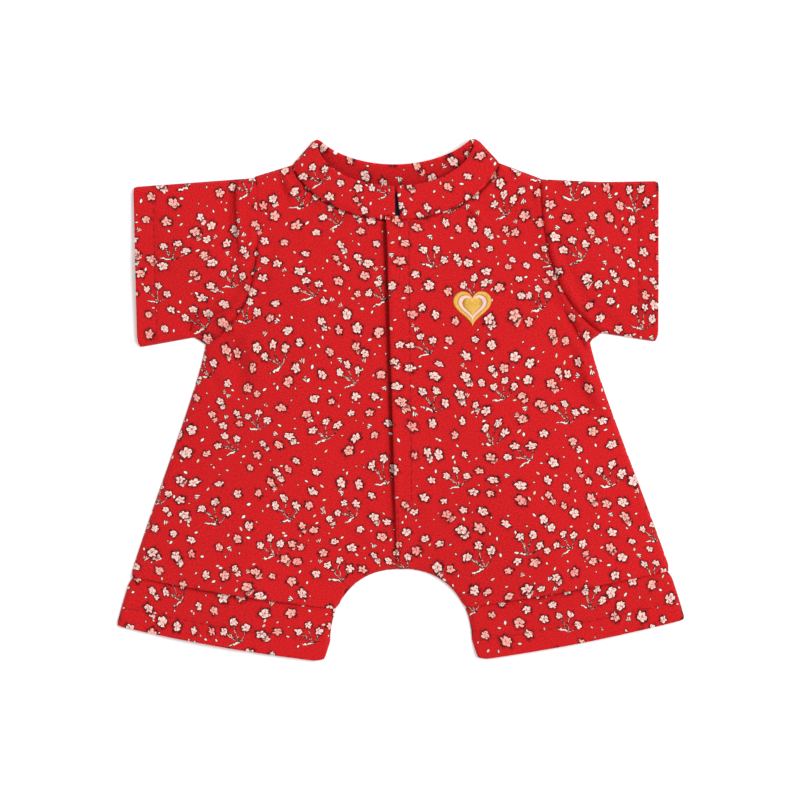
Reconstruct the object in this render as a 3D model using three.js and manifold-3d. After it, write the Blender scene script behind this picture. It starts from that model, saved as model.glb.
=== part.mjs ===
// A soft doll's short-sleeved romper, laid flat on its back: bodice and legs in one, a stand collar,
// set-in sleeves, a front opening closed by hook-and-loop tape, and a tuck above each leg hem.
// Millimetres. +Z is up from the table, +Y runs to the collar, +X to the wearer's left.

import * as THREE from "three";
import { mergeVertices } from "three/addons/utils/BufferGeometryUtils.js";
import Module from "manifold-3d";

// Cloth
const CLOTH = 0.8; // one layer of cloth
const CLEARANCE = 0.35; // gap between two pieces that are sewn together
const LOFT = 7.3; // height inside, between the back and the front
const ROLL = 13; // width over which the front comes down to a closed edge
const GRID = 5.4; // spacing of the points on a curved layer

// Outline of the left half, as half widths and as heights from the middle of the garment
const NECK_HALF = 37.5;
const NECK_Y = 87.3;
const SHOULDER_HALF = 53.5;
const SHOULDER_Y = 81.6;
const SLEEVE_HALF = 97;
const SLEEVE_TOP_Y = 80.4;
const SLEEVE_BOTTOM_Y = 20.5;
const NOTCH_HALF = 75.5;
const NOTCH_Y = 23.5;
const UNDERARM_HALF = 71.3;
const UNDERARM_Y = 20.7;
const HEM_HALF = 104.5;
const HEM_SIDE_Y = -81.8;
const HEM_INNER_HALF = 28.5;
const HEM_INNER_Y = -96;
const HEM_BULGE = 3.4; // how far the curve of the hem is pulled down
const ARCH_RADIUS = 26.7; // round top of the gap between the legs
const CROTCH_Y = -62.3;

// Armhole seam: the heights and half widths that pull its curve
const ARMHOLE_DEPTH = 40;
const ARMHOLE_TURN_HALF = 59;
const ARMHOLE_TURN_Y = 35;

// Line about which a sleeve folds over
const FOLD_TOP_HALF = 58.5;
const FOLD_BOTTOM_HALF = 77;

// Tuck line about which a leg cuff turns up
const TUCK_INNER_HALF = 24.2;
const TUCK_INNER_Y = -76.6;
const TUCK_OUTER_HALF = 99;
const TUCK_OUTER_Y = -63.9;
const TUCK_STEP = 2; // how much lower the cuff lies than the tuck
const TUCK_DEPTH = 5; // cloth turned under at the tuck
const HEM_DEPTH = 6.8; // cloth turned in at a sleeve or leg hem

// Collar
const PEAK_HALF = 29.6;
const PEAK_Y = 96;
const NECK_FRONT_Y = 67;
const NECK_FRONT_RISE = 6.4;
const NECK_BACK_Y = 75.4;
const NECK_BACK_RISE = 20;
const COLLAR_FRONT_Y = 78.3;
const COLLAR_BACK_Y = 86.9;
const COLLAR_BACK_RISE = 15;
const COLLAR_GAP = 1.2; // between the two ends at the centre front
const COLLAR_DIP = 0.6; // how much lower the right end lies than the left

// Front opening, left over right
const OVERLAP_TOP = 4.5; // how far the left front passes the centre line, at the neck
const OVERLAP_BOTTOM = 1.9; // and at the crotch
const UNDERLAP = 3.4; // how far the right front passes the centre line
const FLAP_HINGE = 4.1; // stitched line about which the flap folds back
const PLACKET_BOTTOM_Y = -37.6; // the front is sewn shut below this
const DIP = 3; // how far the right front goes down to pass under the left
const DIP_WIDTH = 13;
const TAPE = 0.7;
const TAPE_WIDTH = 5.6;
const TAPE_END = 3.5; // bare cloth above and below the tape
const HOOK_TAPE_TOP_Y = 76.4; // the hook tape goes on up, behind the gap in the collar

// Embroidered heart on the left breast
const HEART_X = 27.6;
const HEART_Y = 34.4;
const HEART_WIDTH = 14;
const HEART_BAND = 1.7;
const HEART_STEP = 0.5; // bare cloth between two bands
const THREAD = 0.7;

const BELOW = -8;
const ABOVE = 40;
const FAR = 200;
const GAP = CLEARANCE / 2;

const wasm = await Module();
wasm.setup();

const V = (x, y) => new THREE.Vector2(x, y);
const neck = V(NECK_HALF, NECK_Y);
const shoulder = V(SHOULDER_HALF, SHOULDER_Y);
const sleeveTop = V(SLEEVE_HALF, SLEEVE_TOP_Y);
const sleeveBottom = V(SLEEVE_HALF, SLEEVE_BOTTOM_Y);
const notch = V(NOTCH_HALF, NOTCH_Y);
const underarm = V(UNDERARM_HALF, UNDERARM_Y);
const hemOuter = V(HEM_HALF, HEM_SIDE_Y);
const hemInner = V(HEM_INNER_HALF, HEM_INNER_Y);
const peak = V(PEAK_HALF, PEAK_Y);
const archCentre = V(0, CROTCH_Y - ARCH_RADIUS);
const tuckInner = V(TUCK_INNER_HALF, TUCK_INNER_Y);
const tuckOuter = V(TUCK_OUTER_HALF, TUCK_OUTER_Y);
const foldTop = V(FOLD_TOP_HALF, SLEEVE_TOP_Y);
const foldBottom = V(FOLD_BOTTOM_HALF, SLEEVE_BOTTOM_Y);

const clamp = THREE.MathUtils.clamp;
const smooth = THREE.MathUtils.smoothstep;
const mix = THREE.MathUtils.lerp;

// Solids

function solidOf(geometry) {
  geometry.deleteAttribute("normal");
  geometry.deleteAttribute("uv");
  const merged = mergeVertices(geometry, 1e-4);
  const mesh = new wasm.Mesh({
    numProp: 3,
    vertProperties: merged.attributes.position.array,
    triVerts: new Uint32Array(merged.index.array),
  });
  return new wasm.Manifold(mesh);
}

function prism(points, holes = []) {
  const shape = new THREE.Shape(points);
  for (const hole of holes) {
    shape.holes.push(new THREE.Path(hole));
  }
  const geometry = new THREE.ExtrudeGeometry(shape, { depth: ABOVE - BELOW, bevelEnabled: false });
  geometry.translate(0, 0, BELOW);
  return solidOf(geometry);
}

// A flat layer that lies on the table, within an outline.
function flatLayer(outline, thickness) {
  const size = 2 * FAR;
  const slab = new THREE.BoxGeometry(size, size, thickness);
  slab.translate(0, 0, thickness / 2);
  return outline.intersect(solidOf(slab));
}

// A curved layer within an outline: underside gives the height of its lower face at x, y.
// All the layers share one grid, so two that are a distance apart stay so all over.
function curvedLayer(outline, underside, thickness) {
  const box = outline.boundingBox();
  const first = [0, 1].map((axis) => Math.floor(box.min[axis] / GRID) - 1);
  const last = [0, 1].map((axis) => Math.ceil(box.max[axis] / GRID) + 1);
  const across = last[0] - first[0] + 1;
  const along = last[1] - first[1] + 1;
  const points = [];
  for (const lift of [0, thickness]) {
    for (let j = 0; j < along; j++) {
      for (let i = 0; i < across; i++) {
        const x = (first[0] + i) * GRID;
        const y = (first[1] + j) * GRID;
        points.push(x, y, underside(x, y) + lift);
      }
    }
  }
  const faces = [];
  const upper = across * along;
  for (let j = 0; j < along - 1; j++) {
    for (let i = 0; i < across - 1; i++) {
      const a = j * across + i;
      const b = a + 1;
      const c = a + across;
      const d = c + 1;
      faces.push(a, d, b, a, c, d);
      faces.push(upper + a, upper + b, upper + d, upper + a, upper + d, upper + c);
    }
  }
  const wall = (a, b) => faces.push(a, b, upper + b, a, upper + b, upper + a);
  for (let i = 0; i < across - 1; i++) {
    wall(i, i + 1);
    wall((along - 1) * across + i + 1, (along - 1) * across + i);
  }
  for (let j = 0; j < along - 1; j++) {
    wall((j + 1) * across, j * across);
    wall(j * across + across - 1, (j + 1) * across + across - 1);
  }
  const geometry = new THREE.BufferGeometry();
  geometry.setAttribute("position", new THREE.Float32BufferAttribute(points, 3));
  geometry.setIndex(faces);
  return outline.intersect(solidOf(geometry));
}

// Curves of the outline and the seams

const mirrored = (points) => points.map((p) => V(-p.x, p.y)).reverse();

// A bowl-shaped curve from the centre line up to a point at the side, as part of an ellipse whose
// middle lies a rise above that point.
function bowl(side, bottom, rise, count = 14) {
  const tall = side.y + rise - bottom;
  const end = Math.acos(rise / tall);
  const wide = side.x / Math.sin(end);
  const points = [];
  for (let i = 0; i <= count; i++) {
    const angle = (end * i) / count;
    points.push(V(wide * Math.sin(angle), side.y + rise - tall * Math.cos(angle)));
  }
  return points;
}

// A line of points moved sideways, to its right as it runs.
function beside(points, distance) {
  return points.map((p, i) => {
    const before = points[Math.max(i - 1, 0)];
    const after = points[Math.min(i + 1, points.length - 1)];
    const way = after.clone().sub(before).normalize();
    return V(p.x + way.y * distance, p.y - way.x * distance);
  });
}

function lengthened(points, distance) {
  const n = points.length;
  const start = points[0].clone().sub(points[1]).setLength(distance).add(points[0]);
  const end = points[n - 1].clone().sub(points[n - 2]).setLength(distance).add(points[n - 1]);
  return [start, ...points, end];
}

function hemCurve() {
  const middle = hemOuter.clone().lerp(hemInner, 0.5);
  const pull = V(middle.x, middle.y - HEM_BULGE);
  return new THREE.QuadraticBezierCurve(hemOuter, pull, hemInner).getPoints(8);
}

function archCurve() {
  const arc = new THREE.EllipseCurve(0, archCentre.y, ARCH_RADIUS, ARCH_RADIUS, 0, Math.PI / 2);
  return arc.getPoints(10);
}

const armhole = new THREE.CubicBezierCurve(
  shoulder,
  V(SHOULDER_HALF, SHOULDER_Y - ARMHOLE_DEPTH),
  V(ARMHOLE_TURN_HALF, ARMHOLE_TURN_Y),
  underarm,
).getPoints(12);

const frontNeck = bowl(neck, NECK_FRONT_Y, NECK_FRONT_RISE);
const backNeck = bowl(neck, NECK_BACK_Y, NECK_BACK_RISE);
const frontCollarTop = bowl(peak, COLLAR_FRONT_Y, 0);
const backCollarTop = bowl(peak, COLLAR_BACK_Y, COLLAR_BACK_RISE);

// The left half of the outline, clockwise from the neck to the crotch
const hem = hemCurve();
const leftOutline = [
  neck, shoulder, sleeveTop, sleeveBottom, notch, underarm, ...hem, ...archCurve(),
];
const silhouette = prism([...leftOutline, ...mirrored(leftOutline).slice(1)]);

// Parts of the plane, each as a prism that stands right through the garment

const wholeBowl = (points) => [...mirrored(points), ...points.slice(1)];

function aboveNeck(curve, distance) {
  const line = lengthened(beside(wholeBowl(curve), distance), FAR / 2);
  return prism([...line, V(FAR, FAR), V(-FAR, FAR)]);
}

function beyondArmhole(distance) {
  const line = lengthened(beside(armhole, distance), FAR / 10);
  return prism([...line, V(FAR, line.at(-1).y), V(FAR, FAR), V(line[0].x, FAR)]);
}

function beyondFold(distance) {
  const line = lengthened(beside([foldTop, foldBottom], distance), FAR / 10);
  return prism([...line, V(FAR, line[1].y), V(FAR, line[0].y)]);
}

function belowTuck(distance) {
  const line = beside([tuckInner, tuckOuter], distance);
  const slope = (line[1].y - line[0].y) / (line[1].x - line[0].x);
  const middle = V(0, line[0].y - slope * line[0].x);
  const far = V(FAR, middle.y + slope * FAR);
  return prism([V(-FAR, far.y), middle, far, V(FAR, -FAR), V(-FAR, -FAR)].reverse());
}

// A band along a line, from one distance beside it to another
function band(points, near, far) {
  const line = lengthened(points, FAR / 20);
  return prism([...beside(line, near), ...beside(line, far).reverse()]);
}

const leftSide = prism([V(0, -FAR), V(FAR, -FAR), V(FAR, FAR), V(0, FAR)]);

// Heights

const crossing = (a, b, x, y) => (b.x - a.x) * (y - a.y) - (b.y - a.y) * (x - a.x);

function distanceToEdge(a, b, x, y) {
  const along = b.clone().sub(a);
  const part = clamp(V(x - a.x, y - a.y).dot(along) / along.lengthSq(), 0, 1);
  return Math.hypot(x - a.x - along.x * part, y - a.y - along.y * part);
}

const closedEdges = [
  [neck, shoulder], [shoulder, sleeveTop], [sleeveBottom, notch], [notch, underarm],
  [underarm, hemOuter],
];

// Distance inwards from the nearest edge where front and back are joined; below zero outside.
function inwards(side, y) {
  const x = Math.abs(side);
  const below = ([a, b]) => crossing(a, b, x, y) < 0;
  const body = below(closedEdges[4]);
  const sleeve = below(closedEdges[2]);
  const under = below(closedEdges[0]) || (below(closedEdges[1]) && x > SHOULDER_HALF);
  const arch = y > archCentre.y ? Math.hypot(x, y - archCentre.y) : x;
  const gap = arch - ARCH_RADIUS;
  const nearest = Math.min(...closedEdges.map(([a, b]) => distanceToEdge(a, b, x, y)));
  const inside = (body || sleeve) && under;
  return Math.min(inside ? nearest : -nearest, gap);
}

function roll(distance) {
  const part = Math.min(distance / ROLL, 1);
  return 1 - (1 - part) ** 2;
}

// Lower face of the front where it meets the back, and at its full height
const SEAT = CLOTH + 2 * CLEARANCE;
const ROOF = SEAT + LOFT;

const raised = (seat, roof, x, y) => seat + (roof - seat) * roll(inwards(x, y));

const dipAt = (x) => smooth(x, -FLAP_HINGE - DIP_WIDTH, -FLAP_HINGE);

const rightFront = (x, y) => raised(SEAT, ROOF - DIP * dipAt(x), x, y);

// Height of the overlap above the right front: the cloth, and the two tapes where there are any
function stack(y) {
  const tapes = 2 * (TAPE + CLEARANCE);
  const part = smooth(y, PLACKET_BOTTOM_Y - DIP_WIDTH, PLACKET_BOTTOM_Y);
  return CLOTH + CLEARANCE + tapes * part;
}

const overlap = (x, y) => raised(SEAT, ROOF - DIP, x, y) + stack(y);

function leftFront(x, y) {
  const part = smooth(-x, -FLAP_HINGE - DIP_WIDTH, -FLAP_HINGE - 1);
  return mix(raised(SEAT, ROOF, x, y), overlap(x, y) + CLOTH, part);
}

// A tube's upper layer sinks into its lower layer along the closed edges, which joins them.
const SINK = CLOTH * 0.8;
const tube = (x, y) => raised(SINK, ROOF, x, y);
const cuffTop = (x, y) => raised(SINK, ROOF - TUCK_STEP, x, y);

const COLLAR = 2 * CLOTH;

function collarFront(x, y) {
  const seat = COLLAR + 2 * CLEARANCE;
  const distance = -crossing(peak, neck, Math.abs(x), y) / peak.distanceTo(neck);
  return seat + (ROOF - seat) * roll(distance);
}

const collarRight = (x, y) => collarFront(x, y) - COLLAR_DIP * dipAt(x);

// Body panels

const mirror = (solid) => solid.mirror([1, 0, 0]);
const bodice = silhouette
  .subtract(beyondArmhole(GAP))
  .subtract(mirror(beyondArmhole(GAP)))
  .subtract(belowTuck(-GAP));
const frontBodice = bodice.subtract(aboveNeck(frontNeck, GAP));

const overlapEdge = [V(-OVERLAP_TOP, NECK_FRONT_Y), V(-OVERLAP_BOTTOM, CROTCH_Y)];

function leftOfPlacket(hingeX, bottomY) {
  const edge = lengthened(overlapEdge, FAR / 4);
  return prism([
    V(hingeX, FAR), V(hingeX, bottomY), V(edgeAt(bottomY), bottomY), edge.at(-1), V(FAR, -FAR), V(FAR, FAR),
  ].reverse());
}

function edgeAt(y) {
  const part = (y - NECK_FRONT_Y) / (CROTCH_Y - NECK_FRONT_Y);
  return mix(-OVERLAP_TOP, -OVERLAP_BOTTOM, part);
}

const tuckLine = [tuckInner, tuckOuter];
const tuckBand = band(tuckLine, -TUCK_DEPTH, 0);

// A second layer under a panel, where its cloth is turned in; it stays clear of the back.
function doubled(panel, region, underside) {
  const lowest = CLOTH + CLEARANCE;
  return panel.add(curvedLayer(region, (x, y) => Math.max(underside(x, y) - CLOTH * 0.9, lowest), CLOTH));
}

function frontLeftPanel() {
  const region = frontBodice.intersect(leftOfPlacket(FLAP_HINGE + GAP, PLACKET_BOTTOM_Y - GAP));
  const strip = region.intersect(prism([
    V(-FAR, -FAR), V(FLAP_HINGE, -FAR), V(FLAP_HINGE, PLACKET_BOTTOM_Y), V(-FAR, PLACKET_BOTTOM_Y),
  ]));
  const panel = curvedLayer(region, leftFront, CLOTH);
  const turned = doubled(panel, strip, leftFront);
  return doubled(turned, region.intersect(tuckBand), leftFront);
}

function frontRightPanel() {
  const side = prism([V(-FAR, -FAR), V(UNDERLAP, -FAR), V(UNDERLAP, FAR), V(-FAR, FAR)]);
  const region = frontBodice.intersect(side);
  const panel = curvedLayer(region, rightFront, CLOTH);
  return doubled(panel, region.intersect(mirror(tuckBand)), rightFront);
}

function backPanel() {
  return flatLayer(bodice.subtract(aboveNeck(backNeck, GAP)), CLOTH);
}

// Front opening

function placketFlap() {
  const hinge = FLAP_HINGE - GAP;
  const bottom = PLACKET_BOTTOM_Y + GAP;
  const region = prism([
    V(edgeAt(bottom), bottom), V(hinge, bottom), V(hinge, PEAK_Y), V(edgeAt(PEAK_Y), PEAK_Y),
  ]);
  return curvedLayer(region.subtract(aboveNeck(frontNeck, GAP)), overlap, COLLAR);
}

// The hook tape is layer 0, on the right front, and the loop tape layer 1, under the flap.
function tape(layer, high) {
  const half = TAPE_WIDTH / 2;
  const low = PLACKET_BOTTOM_Y + TAPE_END;
  const region = prism([V(-half, low), V(half, low), V(half, high), V(-half, high)]);
  const lift = CLOTH + CLEARANCE + layer * (TAPE + CLEARANCE);
  return curvedLayer(region, (x, y) => raised(SEAT, ROOF - DIP, x, y) + lift, TAPE);
}

// Collar

function collarOutline(seam, top) {
  return prism([...beside(seam, -GAP), ...top.slice().reverse()]);
}

const leftCollar = collarOutline(frontNeck, frontCollarTop);

function between(low, high) {
  return prism([V(low, -FAR), V(high, -FAR), V(high, FAR), V(low, FAR)]);
}

const collarEnd = COLLAR_GAP / 2;

function backCollar() {
  const left = [...beside(backNeck, -GAP), ...backCollarTop.slice().reverse()];
  const half = prism(left);
  return flatLayer(half.add(mirror(half)), COLLAR);
}

// Sleeves and leg cuffs, as flattened tubes with a turned hem at the open end

function flatTube(region, hemRegion, top) {
  const layers = [
    flatLayer(region, CLOTH),
    curvedLayer(region, top, CLOTH),
  ];
  if (hemRegion) {
    layers.push(flatLayer(hemRegion, COLLAR));
    layers.push(curvedLayer(hemRegion, (x, y) => Math.max(top(x, y) - CLOTH * 0.9, SINK), CLOTH));
  }
  return layers.reduce((whole, layer) => whole.add(layer));
}

const sleeveAll = silhouette.intersect(beyondArmhole(-GAP)).intersect(leftSide);
const sleeveRegion = sleeveAll.intersect(beyondFold(-GAP));
const sleeveHem = sleeveRegion.intersect(between(SLEEVE_HALF - HEM_DEPTH, FAR));
const headRegion = sleeveAll.subtract(beyondFold(GAP));
const cuffRegion = silhouette.intersect(belowTuck(GAP)).intersect(leftSide);
const cuffHem = cuffRegion.intersect(band(hem, -FAR / 20, HEM_DEPTH));

// Embroidered heart: two bands and a core, one inside the other

function heartOutline(width) {
  const points = [];
  const count = 36;
  for (let i = 0; i < count; i++) {
    const angle = (2 * Math.PI * i) / count;
    const x = Math.sin(angle) ** 3;
    const wave = 13 * Math.cos(angle) - 5 * Math.cos(2 * angle) - 2 * Math.cos(3 * angle) - Math.cos(4 * angle);
    points.push(V(HEART_X + (x * width) / 2, HEART_Y + (wave / 32) * width));
  }
  return points.reverse();
}

function heartBand(order) {
  const outer = HEART_WIDTH - 2 * order * (HEART_BAND + HEART_STEP);
  const inner = outer - 2 * HEART_BAND;
  const holes = order < 2 ? [heartOutline(inner)] : [];
  const region = prism(heartOutline(outer), holes);
  return curvedLayer(region, (x, y) => leftFront(x, y) + CLOTH + CLEARANCE, THREAD);
}

// The assembly

const cotton = new THREE.MeshStandardMaterial({ color: 0xc4141c, roughness: 0.85 });
const tapeMaterial = new THREE.MeshStandardMaterial({ color: 0x14141f, roughness: 0.9 });
const gold = new THREE.MeshStandardMaterial({ color: 0xd9a233, roughness: 0.5 });
const pink = new THREE.MeshStandardMaterial({ color: 0xf0c4c0, roughness: 0.5 });

function piece(name, solid, material) {
  const mesh = solid.getMesh();
  const geometry = new THREE.BufferGeometry();
  geometry.setAttribute("position", new THREE.BufferAttribute(mesh.vertProperties, 3));
  geometry.setIndex(new THREE.BufferAttribute(mesh.triVerts, 1));
  geometry.computeVertexNormals();
  const made = new THREE.Mesh(geometry, material);
  made.name = name;
  return made;
}

const romper = new THREE.Group();
romper.name = "doll_romper";

romper.add(piece("back_panel", backPanel(), cotton));
romper.add(piece("front_right_panel", frontRightPanel(), cotton));
romper.add(piece("front_left_panel", frontLeftPanel(), cotton));
romper.add(piece("placket_flap", placketFlap(), cotton));
romper.add(piece("hook_tape", tape(0, HOOK_TAPE_TOP_Y), tapeMaterial));
romper.add(piece("loop_tape", tape(1, NECK_FRONT_Y - TAPE_END), tapeMaterial));

const leftBand = leftCollar.intersect(between(FLAP_HINGE + GAP, FAR));
const leftTab = leftCollar.intersect(between(collarEnd, FLAP_HINGE - GAP));
const rightBand = mirror(leftCollar).intersect(between(-FAR, -collarEnd));
romper.add(piece("collar_back", backCollar(), cotton));
romper.add(piece("collar_front_left", curvedLayer(leftBand, collarFront, COLLAR), cotton));
romper.add(piece("collar_front_tab", curvedLayer(leftTab, collarFront, COLLAR), cotton));
romper.add(piece("collar_front_right", curvedLayer(rightBand, collarRight, COLLAR), cotton));

const pairs = [
  ["sleeve_head", flatTube(headRegion, null, tube)],
  ["sleeve", flatTube(sleeveRegion, sleeveHem, tube)],
  ["leg_cuff", flatTube(cuffRegion, cuffHem, cuffTop)],
];
for (const [name, solid] of pairs) {
  romper.add(piece(`${name}_left`, solid, cotton));
  romper.add(piece(`${name}_right`, mirror(solid), cotton));
}

["heart_border", "heart_ring", "heart_core"].forEach((name, order) => {
  romper.add(piece(name, heartBand(order), order < 2 ? gold : pink));
});

export default romper;
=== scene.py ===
# %% [markdown]
# # A doll's romper, laid flat
# This lesson dresses a small garment in cloth. The garment is a doll's romper of red cotton with a print of
# tiny flowers: a stand collar, two set-in sleeves, a lapped front that closes with hook-and-loop tape, and a
# tuck above each leg hem. It lies on its back on a pale table, and we look straight down at it.
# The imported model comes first. It is the fixed frame: it says where each piece is and how it moves.

# %% Load the frame
import math

import bpy
import numpy as np
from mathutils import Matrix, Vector
from mathutils.geometry import delaunay_2d_cdt


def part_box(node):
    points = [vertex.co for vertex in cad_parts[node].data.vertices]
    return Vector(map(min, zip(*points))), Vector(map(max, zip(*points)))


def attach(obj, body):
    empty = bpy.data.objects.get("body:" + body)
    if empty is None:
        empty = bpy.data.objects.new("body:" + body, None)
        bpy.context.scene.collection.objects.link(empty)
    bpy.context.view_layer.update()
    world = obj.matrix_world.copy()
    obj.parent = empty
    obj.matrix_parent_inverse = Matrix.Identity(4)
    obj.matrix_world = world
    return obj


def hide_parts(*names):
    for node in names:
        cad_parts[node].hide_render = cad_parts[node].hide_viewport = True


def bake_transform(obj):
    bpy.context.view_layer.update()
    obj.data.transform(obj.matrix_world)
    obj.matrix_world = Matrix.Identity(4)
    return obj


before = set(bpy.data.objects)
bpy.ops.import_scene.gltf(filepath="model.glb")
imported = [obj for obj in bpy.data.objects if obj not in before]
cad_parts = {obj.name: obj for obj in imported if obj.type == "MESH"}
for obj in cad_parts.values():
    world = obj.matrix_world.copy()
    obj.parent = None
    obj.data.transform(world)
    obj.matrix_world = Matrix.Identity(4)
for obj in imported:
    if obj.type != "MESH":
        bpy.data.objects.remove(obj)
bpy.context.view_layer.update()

# %% [markdown]
# ## Measures
# All lengths in this lesson are millimetres, as a dressmaker would write them, and `MM` turns them into
# Blender's metres at the very end. The overall sizes come from the frame, and the others are read off the
# garment: +Y runs to the collar, +X to the wearer's left, +Z up out of the front.

# %% Measures of the garment
MM = 0.001


def frame_box(node):
    low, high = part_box(node)
    return np.array(low) / MM, np.array(high) / MM


SLEEVE_HALF = frame_box("sleeve_left")[1][0]
HEM_HALF = frame_box("leg_cuff_left")[1][0]
HEM_INNER_Y = frame_box("leg_cuff_left")[0][1]
PEAK_Y = frame_box("collar_back")[1][1]
SETTLED = 2.2  # the cloth lies this much flatter than the frame, which stands for it filled out
ROOF = frame_box("front_right_panel")[1][2] - SETTLED  # highest point of the plain front

NECK = np.array((37.5, 87.3))
SHOULDER = {"left": np.array((53.5, 81.1)), "right": np.array((53.5, 82.6))}
SLEEVE_BOW = {"left": np.array((75.5, 79.8)), "right": np.array((75.5, 81.2))}  # middle of its top edge
SLEEVE_TOP = np.array((SLEEVE_HALF - 0.4, 79.9))
SLEEVE_BOTTOM = np.array((SLEEVE_HALF - 1.2, 20.5))
NOTCH = np.array((75.2, 24.0))
UNDERARM = np.array((70.8, 21.2))
HEM_OUTER = np.array((HEM_HALF + 0.5, -81.8))
HEM_INNER = np.array((28.5, HEM_INNER_Y))
PEAK = np.array((29.6, PEAK_Y))
TUCK_INNER = np.array((24.2, -76.6))
TUCK_OUTER = np.array((99.0, -63.9))
FOLD_TOP = np.array((58.5, 80.4))
FOLD_BOTTOM = np.array((77.0, 20.5))
ARCH_RADIUS = 26.7
ARCH_SQUARENESS = 0.85  # below 1, the arch is a little fuller than a circle
CROTCH_Y = -62.3
ARCH_Y = CROTCH_Y - ARCH_RADIUS
HINGE_X = 4.1  # stitched line beside the front opening
UNDERLAP_X = 3.4
PLACKET_BOTTOM_Y = -37.6
OVERLAP_TOP = np.array((-3.4, 67.0))
OVERLAP_BOTTOM = np.array((-0.9, CROTCH_Y))
print("half width over the hems:", round(HEM_HALF, 1), "mm, roof of the front:", round(ROOF, 1), "mm")

# %% [markdown]
# ## Pattern pieces
# A garment starts as flat pattern pieces, so we draw their edges first, as lines and curves seen from above.
# The neck and collar curves are parts of ellipses, each armhole is one Bezier curve, and the gap between
# the legs is nearly a half circle. Each edge is then cut into even steps, which become the rim of a mesh.

# %% Curves for the edges
def line(*points):
    return np.array(points, float)


def bezier(a, b, c, d, count=48):
    t = np.linspace(0, 1, count + 1)[:, None]
    s = 1 - t
    return s**3 * a + 3 * s * s * t * b + 3 * s * t * t * c + t**3 * d


def pulled(a, b, sideways, count=24):
    """A shallow curve from a to b whose middle is pulled to the right of the way it runs."""
    way = (b - a) / np.linalg.norm(b - a)
    middle = (a + b) / 2 + np.array((way[1], -way[0])) * sideways
    return bezier(a, a + (middle - a) * 0.75, b + (middle - b) * 0.75, b, count)


def bowl(side, bottom, rise, count=48):
    """From the centre line up to a point at the side, on an ellipse centred a rise above that point."""
    tall = side[1] + rise - bottom
    end = math.acos(rise / tall)
    angle = np.linspace(0, end, count + 1)
    wide = side[0] / math.sin(end)
    return np.stack([wide * np.sin(angle), side[1] + rise - tall * np.cos(angle)], 1)


def mirrored(points):
    return (points * (-1, 1))[::-1]


def all_mirrored(edges):
    """The edges of a piece for the other side, in the order that keeps the piece on their left."""
    return [mirrored(edge) for edge in edges[::-1]]


def run_of(points):
    """Length along a line at each of its points."""
    return np.concatenate([[0], np.cumsum(np.linalg.norm(np.diff(points, axis=0), axis=1))])


def spaced(points, step):
    """The same line with points at even steps, its two ends kept."""
    run = run_of(points)
    at = np.linspace(0, run[-1], max(2, round(run[-1] / step) + 1))
    return np.stack([np.interp(at, run, points[:, axis]) for axis in (0, 1)], 1)


def join(*parts):
    return np.vstack(parts)


def part_of(points, low, high):
    """The part of a line between two values of x, ending exactly there."""
    ends = [np.interp(end, points[:, 0], points[:, 1]) for end in (low, high)]
    middle = points[(points[:, 0] > low) & (points[:, 0] < high)]
    return join((low, ends[0]), middle, (high, ends[1]))


def rounded(first, second, radius=1.1):
    """Two edges that meet, with the corner between them rounded off."""
    corner = first[-1]
    before, after = spaced(first, 0.25), spaced(second, 0.25)
    before = before[np.linalg.norm(before - corner, axis=1) > radius]
    after = after[np.linalg.norm(after - corner, axis=1) > radius]
    t = np.linspace(0, 1, 7)[:, None]
    turn = (1 - t) ** 2 * before[-1] + 2 * t * (1 - t) * corner + t * t * after[0]
    return join(before, turn[1:]), after


print("from shoulder to underarm:", round(run_of(line(SHOULDER["left"], UNDERARM))[-1], 1), "mm")

# %% Edges of the garment
SIDES = (("left", 1), ("right", -1))
SEAM_SHIFT = {"left": 0.01, "right": 0.1}  # the armhole seam starts this share of the way to the neck
shoulders = {side: SHOULDER[side] + (NECK - SHOULDER[side]) * share for side, share in SEAM_SHIFT.items()}
armhole_pulls = {
    "left": ((53.4, 48.0), (61.5, 33.5), NOTCH),
    "right": ((50.0, 50.0), (51.6, 33.5), UNDERARM),
}
armholes = {}
for side, (upper_pull, lower_pull, end) in armhole_pulls.items():
    armholes[side] = bezier(shoulders[side], np.array(upper_pull), np.array(lower_pull), end)
front_neck = bowl(NECK, 67.0, 6.4)
back_neck = bowl(NECK, 75.4, 20.0)
front_collar_top = bowl(PEAK, 78.3, 0.0)
back_collar_top = bowl(PEAK, 86.2, 15.0)
sleeve_hem = pulled(SLEEVE_BOTTOM, SLEEVE_TOP, -0.1)
leg_hem = pulled(HEM_OUTER, HEM_INNER, -1.9)
tuck_edge = pulled(TUCK_INNER, TUCK_OUTER, 1.1)
side_seam = bezier(UNDERARM, np.array((73.5, 4.0)), np.array((96.5, -50.0)), HEM_OUTER)
turns = np.linspace(0, math.pi / 2, 25)
from_centre = np.cos(turns) ** ARCH_SQUARENESS
arch = np.stack([(ARCH_RADIUS - 0.5) * from_centre, ARCH_Y + ARCH_RADIUS * np.sin(turns)], 1)
for side, seam in armholes.items():
    print(side, "armhole seam:", round(run_of(seam)[-1], 1), "mm long")

# %% [markdown]
# ## How high the cloth lies
# Laid flat, the front of a garment is not a plane: it comes down to the back along every closed edge
# and stays open at the sleeves, the legs and the neck. So one height field serves all pieces.
# It measures how far a point lies from the nearest closed edge: the layers of the seam make a rounded edge
# there, and from it the front rises gently to its full height. Because all the pieces share the field, the
# sleeve meets the body at the armhole with no step.

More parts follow.
